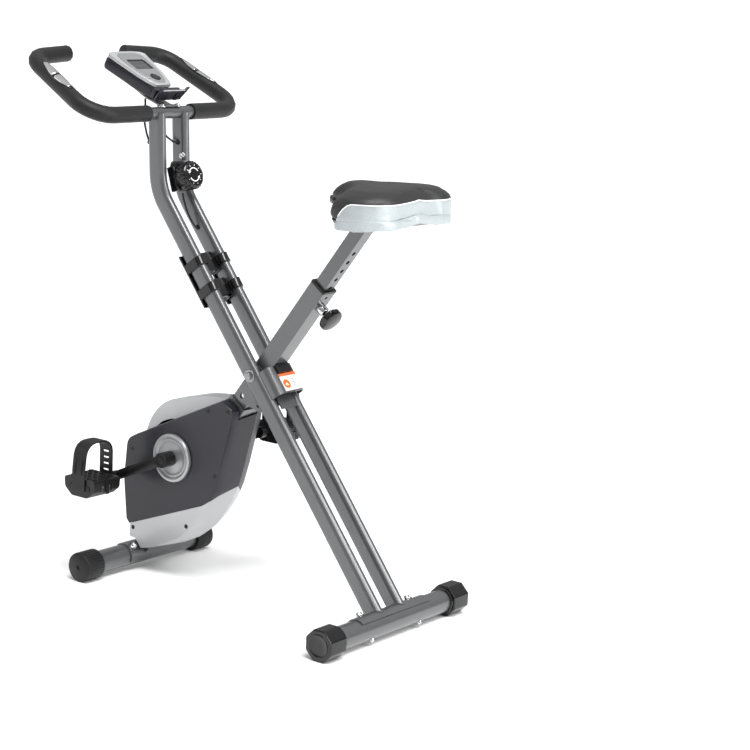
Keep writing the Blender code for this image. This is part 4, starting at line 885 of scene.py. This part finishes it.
def cables():
    """Leads along the routes of the part's own cables, as (x, z, y) marks."""
    routes = {
        "left_pulse_lead": ("left_pulse_cable", [
            (0.664, 0.9905, 0.021), (0.662, 0.975, 0.023), (0.659, 0.950, 0.028),
            (0.650, 0.925, 0.031), (0.6395, 0.908, 0.034)]),
        "right_pulse_lead": ("right_pulse_cable", [
            (0.664, 0.9905, -0.021), (0.666, 0.970, -0.019), (0.660, 0.942, -0.016),
            (0.642, 0.918, -0.0155), (0.622, 0.906, -0.0165), (0.6137, 0.9038, -0.0200),
            (0.6137, 0.9038, -0.0238)]),
        "tension_lead": ("tension_cable", [
            (0.580, 0.8040, -0.006), (0.576, 0.785, -0.008), (0.569, 0.762, -0.012),
            (0.559, 0.743, -0.0165), (0.5527, 0.7355, -0.0200), (0.5527, 0.7355, -0.0238)]),
    }
    for name, (node, marks) in routes.items():
        points = [spot(x, z, y) for x, z, y in marks]
        points = [2 * points[0] - points[1], *points, 2 * points[-1] - points[-2]]
        run = []
        for a, b, c, d in zip(points, points[1:], points[2:], points[3:]):
            for i in range(6):
                t = i / 6
                run.append(0.5 * (2 * b + (c - a) * t + (2 * a - 5 * b + 4 * c - d) * t**2
                                  + (3 * b - a - 3 * c + d) * t**3))
        run.append(points[-2])
        made = sweep(name, run, LEAD_DIAMETER / 2, RUBBER, HANDLEBARS, sides=4)
        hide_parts(node)


def grommets():
    """Rubber rings where the leads enter the tubes."""
    ring = [(0.0026, 0.0), (0.0052, 0.0), (0.0056, 0.0010), (0.0044, 0.0022), (0.0030, 0.0022),
            (0.0026, 0.0014)]
    holes = {"lead_grommet_far": (0.6137, 0.9038), "cable_grommet_far": (0.5527, 0.7355)}
    for name, (x, z) in holes.items():
        where = spot(x, z, -TUBE_INNER)
        piece(name, lathe(ring, 24, True), RUBBER, HANDLEBARS, turn(where, (0, 1, 0)))
    piece("lead_grommet_near", lathe(ring, 24, True), RUBBER, HANDLEBARS,
          turn(spot(0.6365, 0.9055, TUBE_SIDE), Vector((1, 0, 0.35))))


def bottle_holder():
    """Deep cradles between the twin tubes, joined to the clips."""
    for level, up, half, clip_up in (("upper", 0.2585, 0.0210, 0.257), ("lower", 0.2000, 0.0185, 0.197)):
        outer = [(0.0195, 0.0238)] + arc((0.0040, 0.0138), 0.0100, 90, 160, 6)
        inner = [(0.0195, 0.0216)] + arc((0.0050, 0.0126), 0.0090, 90, 160, 6)
        outline = outer + [(a, -b) for a, b in outer[::-1]]
        outline += [(a, -b) for a, b in inner] + inner[::-1]
        stand = TWIN @ Matrix.Translation((0, 0, up - half))
        slab("cradle_%s" % level, [outline], 2 * half, stand, GLOSS_BLACK, HANDLEBARS, 0.0004)
        for tube, side in SIDES:
            at = TWIN @ Matrix.Translation((0, side * TUBE_SIDE, clip_up))
            line = [(0.0190, side * 0.0131)] + arc((-0.0105, 0), 0.0131, side * 90, side * 270, 14)
            for k, shift in enumerate((-0.0088, 0.0088)):
                points = [at @ Vector((a, b, shift)) for a, b in line + [(0.0, -side * 0.0131)]]
                sweep("clip_edge_%s_%s_%d" % (level, tube, k), points, 0.0007, GLOSS_BLACK, HANDLEBARS,
                      sides=2)


def latch_label():
    """Label round the latch bracket's rear face, with a plain band, disc and bars."""
    rear = -0.0460
    start = 0.0200
    lying = TWIN @ Matrix.Translation((0, 0, -0.0655))
    corner = (rear + 0.0160, -0.0240)

    def skin(name, height, low, grow, paint):
        """Sheet on the face and round its right corner."""
        line = [(rear - grow, start)]
        line += arc(corner, 0.0160 + grow, 180, 228, 10)
        back = [(a + 0.0003, b) for a, b in line[::-1]]
        slab(name, [line + back], height, lying @ Matrix.Translation((0, 0, low)), paint, HANDLEBARS)

    skin("latch_label", 0.0385, 0.0015, 0.0004, WHITE_TRIM)
    skin("label_band", 0.0065, 0.0335, 0.0005, ORANGE_INK)
    middle = Matrix.Translation((rear - 0.0004, 0.0080, -0.0490))
    face = TWIN @ middle @ Matrix.Rotation(-math.pi / 2, 4, "Y")
    slab("label_sign", [arc((0, 0), 0.0100, 0, 345, 23)], 0.0002, face, ORANGE_INK, HANDLEBARS)
    wedge = [(-0.0026, 0.0058), (-0.0032, -0.0052), (0.0028, 0.0)]
    slab("label_wedge", [wedge], 0.0003, face, WHITE_TRIM, HANDLEBARS)
    for k in range(6):
        bar = face @ Matrix.Translation((0.0085 - 0.0034 * k, -0.0205, 0))
        slab("label_line_%d" % k, [rounded_box(0.0006, 0.0058 - 0.0009 * (k % 3), 0.0003)], 0.0002, bar,
             GREY_INK, HANDLEBARS)


def feet():
    """Bolts and nuts of the rear foot's plate, and the collars and faces of its caps."""
    top = math.pi / 2 - TWIN_LEAN
    out = Vector((math.cos(top), 0, math.sin(top)))
    for name, side in SIDES:
        beside = REAR_FOOT + Vector((0, side * 0.076, 0))
        bolt("plate_bolt_%s" % name, beside + out * 0.0264, out, 0.0068, 0.0085, CHROME, HANDLEBARS)
        bolt("plate_nut_%s" % name, beside - out * 0.0230, -out, 0.0050, 0.0055, CHROME, HANDLEBARS, False)
        collar = lathe([(0.0236, 0.0), (0.0272, 0.0006), (0.0280, 0.0030), (0.0272, 0.0054),
                        (0.0236, 0.0060)], 40)
        piece("cap_collar_%s" % name, collar, GLOSS_BLACK, HANDLEBARS, outward(REAR_FOOT, side, 0.1660))
        end = lathe([(0.0235, 0.0), (0.0232, 0.0010), (0.0215, 0.0014), (0.0200, 0.0006), (0.0080, 0.0004),
                     (0.0, 0.0006)], 40)
        piece("cap_face_%s" % name, end, GLOSS_BLACK, HANDLEBARS, outward(REAR_FOOT, side, 0.2196))


def weld_bead(name, points, radius, body):
    """Rippled weld bead along a closed line of points."""
    curve = new_curve(name, "3D", radius, 2)
    finer = []
    for a, b in zip(points, points[1:] + points[:1]):
        count = max(1, round((b - a).length / 0.0022))
        finer += [a.lerp(b, i / count) for i in range(count)]
    for i, point in enumerate(add_line(curve, finer).points):
        point.radius = 1.0 + 0.22 * (i % 2)
    piece(name, curve, WELD, body)


def welds():
    """Beads where the twin tubes stand on the foot plate."""
    foot = leaning(REAR_FOOT, TWIN_LEAN)
    for name, side in SIDES:
        line = []
        for i in range(24):
            a = 2 * math.pi * i / 24
            ca, sa = math.cos(a), math.sin(a)
            front = 0.0105 * (1 if ca > 0 else -1) + 0.0102 * ca
            lateral = side * TUBE_SIDE + 0.0102 * sa
            reach = 0.0270**2 - min(abs(front), 0.0262) ** 2
            up = math.sqrt(max(reach, 0.0)) + 0.0006
            line.append(foot @ Vector((front, lateral, up)))
        weld_bead("foot_weld_%s" % name, line, 0.0015, HANDLEBARS)


grips()
console()
dial()
dial_flange()
cables()
grommets()
bottle_holder()
latch_label()
feet()
welds()

# ------------------------------------------------------- seat frame's pieces


def cover_screws():
    """Screws in the covers at side points, on whichever cover is there."""
    marks = [(0.451, 0.377), (0.397, 0.385), (0.428, 0.245), (0.504, 0.124), (0.656, 0.092), (0.662, 0.262)]
    for name, side in SIDES:
        for k, (x, z) in enumerate(marks):
            start = spot(x, z, side * 0.2)
            for level in ("upper", "lower"):
                where, normal = surface_point("%s_%s_cover" % (name, level), start, Vector((0, -side, 0)))
                if where is not None and abs(where.y) > 0.030:
                    screw_well("cover_screw_%s_%d" % (name, k), where, normal, 0.0042, "seat_frame")
                    break


def crank_trim():
    """Caps over the axle's ends and a bright bead on each disc."""
    for name, side, disc_face in (("left", 1, 0.043), ("right", -1, 0.049)):
        cap = lathe([(0.0088, 0.0), (0.0086, 0.0014), (0.0070, 0.0020), (0.0030, 0.0023), (0.0, 0.0023)], 32)
        piece("crank_cap_%s" % name, cap, RUBBER, "crank", outward(CRANK, side, 0.0786))
        bead = lathe([(0.0395, 0.0), (0.0392, 0.0006), (0.0380, 0.0008), (0.0368, 0.0006), (0.0365, 0.0)], 56)
        piece("disc_bead_%s" % name, bead, SILVER_PLASTIC, "crank", outward(CRANK, side, disc_face + 0.0042))


def pedal_trim():
    """Studs, pockets, reflectors, posts and strap ridges of each pedal."""
    for name, side in SIDES:
        middle = Vector(JOINTS["%s_pedal_spin" % name]["pos_m"])
        body = "%s_pedal" % name
        stud = [(0.0050, 0.0), (0.0048, 0.0016), (0.0040, 0.0022), (0.0026, 0.0022), (0.0022, 0.0012),
                (0.0, 0.0010)]
        for i in range(5):
            for j in range(4):
                shift = Vector(((i - 2) * 0.0155, (j - 1.5) * 0.0165, 0.0129))
                if abs(shift.x) < 0.017 and abs(shift.y) > 0.03:
                    continue
                piece("%s_tread_%d%d" % (body, i, j), lathe(stud, 20), RUBBER, body,
                      turn(middle + shift, (0, 0, 1)))
        # Round pockets along the outer face of the pedal.
        ring = [(0.0062, 0.0), (0.0060, 0.0012), (0.0048, 0.0014), (0.0040, 0.0004), (0.0, 0.0002)]
        for i in (0, 2):
            where = middle + Vector(((i - 1) * 0.024, side * 0.0372, -0.006))
            piece("%s_pocket_%d" % (body, i), lathe(ring, 24), BLACK_PLASTIC, body, turn(where, (0, side, 0)))
        for end in (1, -1):
            lens = middle + Vector((end * 0.0437, 0, 0.0020))
            at = turn(lens, (end, 0, 0))
            slab("%s_reflector_%d" % (body, end), [rounded_box(0.0050, 0.0200, 0.002)], 0.0009, at,
                 BLACK_PLASTIC, body, 0.0003)
        # Posts under the tread and two ridges along the strap.
        post = lathe([(0.0058, 0.0), (0.0058, 0.0110), (0.0046, 0.0122), (0.0, 0.0124)], 24)
        for end in (1, -1):
            for k, y in enumerate((-0.008, 0.010)):
                where = middle + Vector((end * 0.0405, y, -0.0120))
                piece("%s_post_%d%d" % (body, end, k), post.copy(), GLOSS_BLACK, body, turn(where, (0, 0, 1)))
        for k, x in enumerate((-0.0095, 0.0095)):
            run = [middle + Vector((x, side * 0.0414, z)) for z in (0.022, 0.034, 0.046, 0.056)]
            sweep("%s_strap_ridge_%d" % (body, k), run, 0.0010, RUBBER, body, sides=2)


def wheel_shell():
    """Transport wheel: fluted tread between plain edges, with a small hole in its outer face."""
    tread = ((0.0310, 0.0016), (0.0310, 0.0435))
    inner = ((0.0235, 0.0), (0.0302, 0.0004))
    outer = ((0.0302, 0.0460), (0.0288, 0.0470), (0.0050, 0.0474), (0.0042, 0.0450), (0.0, 0.0450))
    steps = 180

    def flutes(i):
        return -0.0009 * (i % 6 in (0, 1))

    def build(bm):
        rings = rings_about_z(bm, inner, steps)
        rings += rings_about_z(bm, tread, steps, flutes)
        rings += rings_about_z(bm, outer, steps)
        bm.faces.new(rings[0])
        bridge(bm, rings)

    return shape(build)


def wheels_and_shoe():
    """The transport wheels' shells and the bolts of the shoe between them."""
    for name, side in SIDES:
        body = "front_wheel_%s" % name
        shell = piece("%s_shell" % body, wheel_shell(), RUBBER, body, outward(FRONT_FOOT, side, 0.1420))
        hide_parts(body)
    lean = math.pi / 2 - SEAT_LEAN
    out = Vector((math.cos(lean), 0, math.sin(lean)))
    for name, side in SIDES:
        where = FRONT_FOOT + out * 0.0262 + Vector((0, side * 0.044, 0))
        bolt("shoe_bolt_%s" % name, where, out, 0.0066, 0.0082, CHROME, "seat_frame")


def pins():
    """Ring of the lock pin, and the sleeve and fluted head of the seat pin's knob."""
    lock = PIVOT + (SEAT.to_3x3() @ Vector((0, 0, -0.062)))
    lock.y = -0.0475
    loop = []
    for i in range(24):
        a = 2 * math.pi * i / 24
        loop.append(lock + Vector((0.0135 * math.cos(a), -0.0020, 0.0135 * math.sin(a) - 0.012)))
    sweep("lock_ring", loop, 0.0011, CHROME, "lock_pin", True)

    base = turn(SEAT @ Vector((0, 0, 0.2045)), SEAT.to_3x3() @ Vector((-1, 0, 0)))

    def flutes(i):
        return 0.0005 * math.cos(9 * 2 * math.pi * i / 72)

    boss = lathe([(0.0098, 0.0195), (0.0104, 0.0200), (0.0104, 0.0335), (0.0092, 0.0362),
                  (0.0060, 0.0364)], 32)
    piece("knob_sleeve", boss, CHROME, "seat_frame", base)
    rows = ((0.0226, 0.0478), (0.0240, 0.0490), (0.0243, 0.0560), (0.0232, 0.0592))
    piece("knob_flutes", rippled(rows, 72, flutes), GLOSS_BLACK, "seat_pin", base)


cover_screws()
crank_trim()
pedal_trim()
wheels_and_shoe()
pins()

# ------------------------------------------------------ stage, lights, camera


FLOOR_REACH = 150.0  # wide enough that its edge is never in view
LOW_SKY = (0.30, 0.30, 0.30, 1.0)
MIDDLE_SKY = (0.34, 0.34, 0.345, 1.0)
HIGH_SKY = (1.0, 1.0, 1.0, 1.0)


def stage():
    """Pale floor under a sky that is brightest overhead."""
    def build(bm):
        bmesh.ops.create_grid(bm, x_segments=1, y_segments=1, size=FLOOR_REACH)

    floor = new_object("floor", shape(build))
    paint, tree, shader = new_material("floor_white", (0.93, 0.93, 0.93), 0.8)
    bump(tree, shader, noise(tree, 60.0), 0.0001)
    floor.data.materials.append(paint)
    floor.location = (0, 0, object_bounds()[0].z - 0.0002)
    floor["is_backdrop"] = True

    world = bpy.data.worlds.new("studio")
    world.use_nodes = True
    tree = world.node_tree
    sky = tree.nodes["Background"]
    coords = tree.nodes.new("ShaderNodeTexCoord")
    parts = tree.nodes.new("ShaderNodeSeparateXYZ")
    tone = tree.nodes.new("ShaderNodeValToRGB")
    tone.color_ramp.elements[0].position = 0.0
    tone.color_ramp.elements[0].color = LOW_SKY
    tone.color_ramp.elements[1].position = 0.12
    tone.color_ramp.elements[1].color = MIDDLE_SKY
    tone.color_ramp.elements.new(0.85).color = HIGH_SKY
    tree.links.new(coords.outputs["Generated"], parts.inputs["Vector"])
    tree.links.new(parts.outputs["Z"], tone.inputs["Fac"])
    tree.links.new(tone.outputs["Color"], sky.inputs["Color"])
    sky.inputs["Strength"].default_value = 0.75
    bpy.context.scene.world = world
    bpy.context.scene.view_settings.view_transform = "Standard"


def sun_light(towards, strength, spread):
    """Soft sun in the direction towards, spread over an angle in degrees."""
    light = bpy.data.lights.new("sun", "SUN")
    light.energy = strength
    light.angle = math.radians(spread)
    new_object("sun", light).rotation_euler = Vector(towards).to_track_quat("Z", "Y").to_euler()


def area_light(name, location, target, size, power):
    data = bpy.data.lights.new(name, "AREA")
    data.shape = "RECTANGLE"
    data.size, data.size_y = size
    data.energy = power
    light = new_object(name, data)
    light.location = location
    light.rotation_euler = (Vector(target) - Vector(location)).to_track_quat("-Z", "Y").to_euler()


VIEW_TURN = math.radians(37.57)
VIEW_RISE = math.radians(11.49)
VIEW_ROLL = math.radians(2.36)
VIEW_PLACE = spot(-2.2832, 1.2890, 3.0481)
LENS = 98.38


def camera():
    """Camera behind the bike and to its left, a little tilted."""
    level = math.cos(VIEW_RISE)
    back = Vector((-math.sin(VIEW_TURN) * level, math.cos(VIEW_TURN) * level, math.sin(VIEW_RISE)))
    flat_right = (-back).cross(Vector((0, 0, 1))).normalized()
    flat_up = flat_right.cross(-back)
    right = math.cos(VIEW_ROLL) * flat_right + math.sin(VIEW_ROLL) * flat_up
    up = math.cos(VIEW_ROLL) * flat_up - math.sin(VIEW_ROLL) * flat_right
    data = bpy.data.cameras.new("camera")
    data.sensor_width = 36.0
    data.lens = LENS
    made = new_object("camera", data)
    made.matrix_world = Matrix((
        (right.x, up.x, back.x, VIEW_PLACE.x),
        (right.y, up.y, back.y, VIEW_PLACE.y),
        (right.z, up.z, back.z, VIEW_PLACE.z),
        (0, 0, 0, 1),
    ))
    bpy.context.scene.camera = made


stage()
sun_light((-0.45, 0.22, 1.0), 3.1, 30)
area_light("rear_strip", (-3.0, -0.6, 1.9), (0, 0, 0.5), (0.8, 2.6), 70)
area_light("front_fill", (2.4, 2.2, 1.8), (0, 0, 0.5), (1.2, 1.8), 12)
camera()
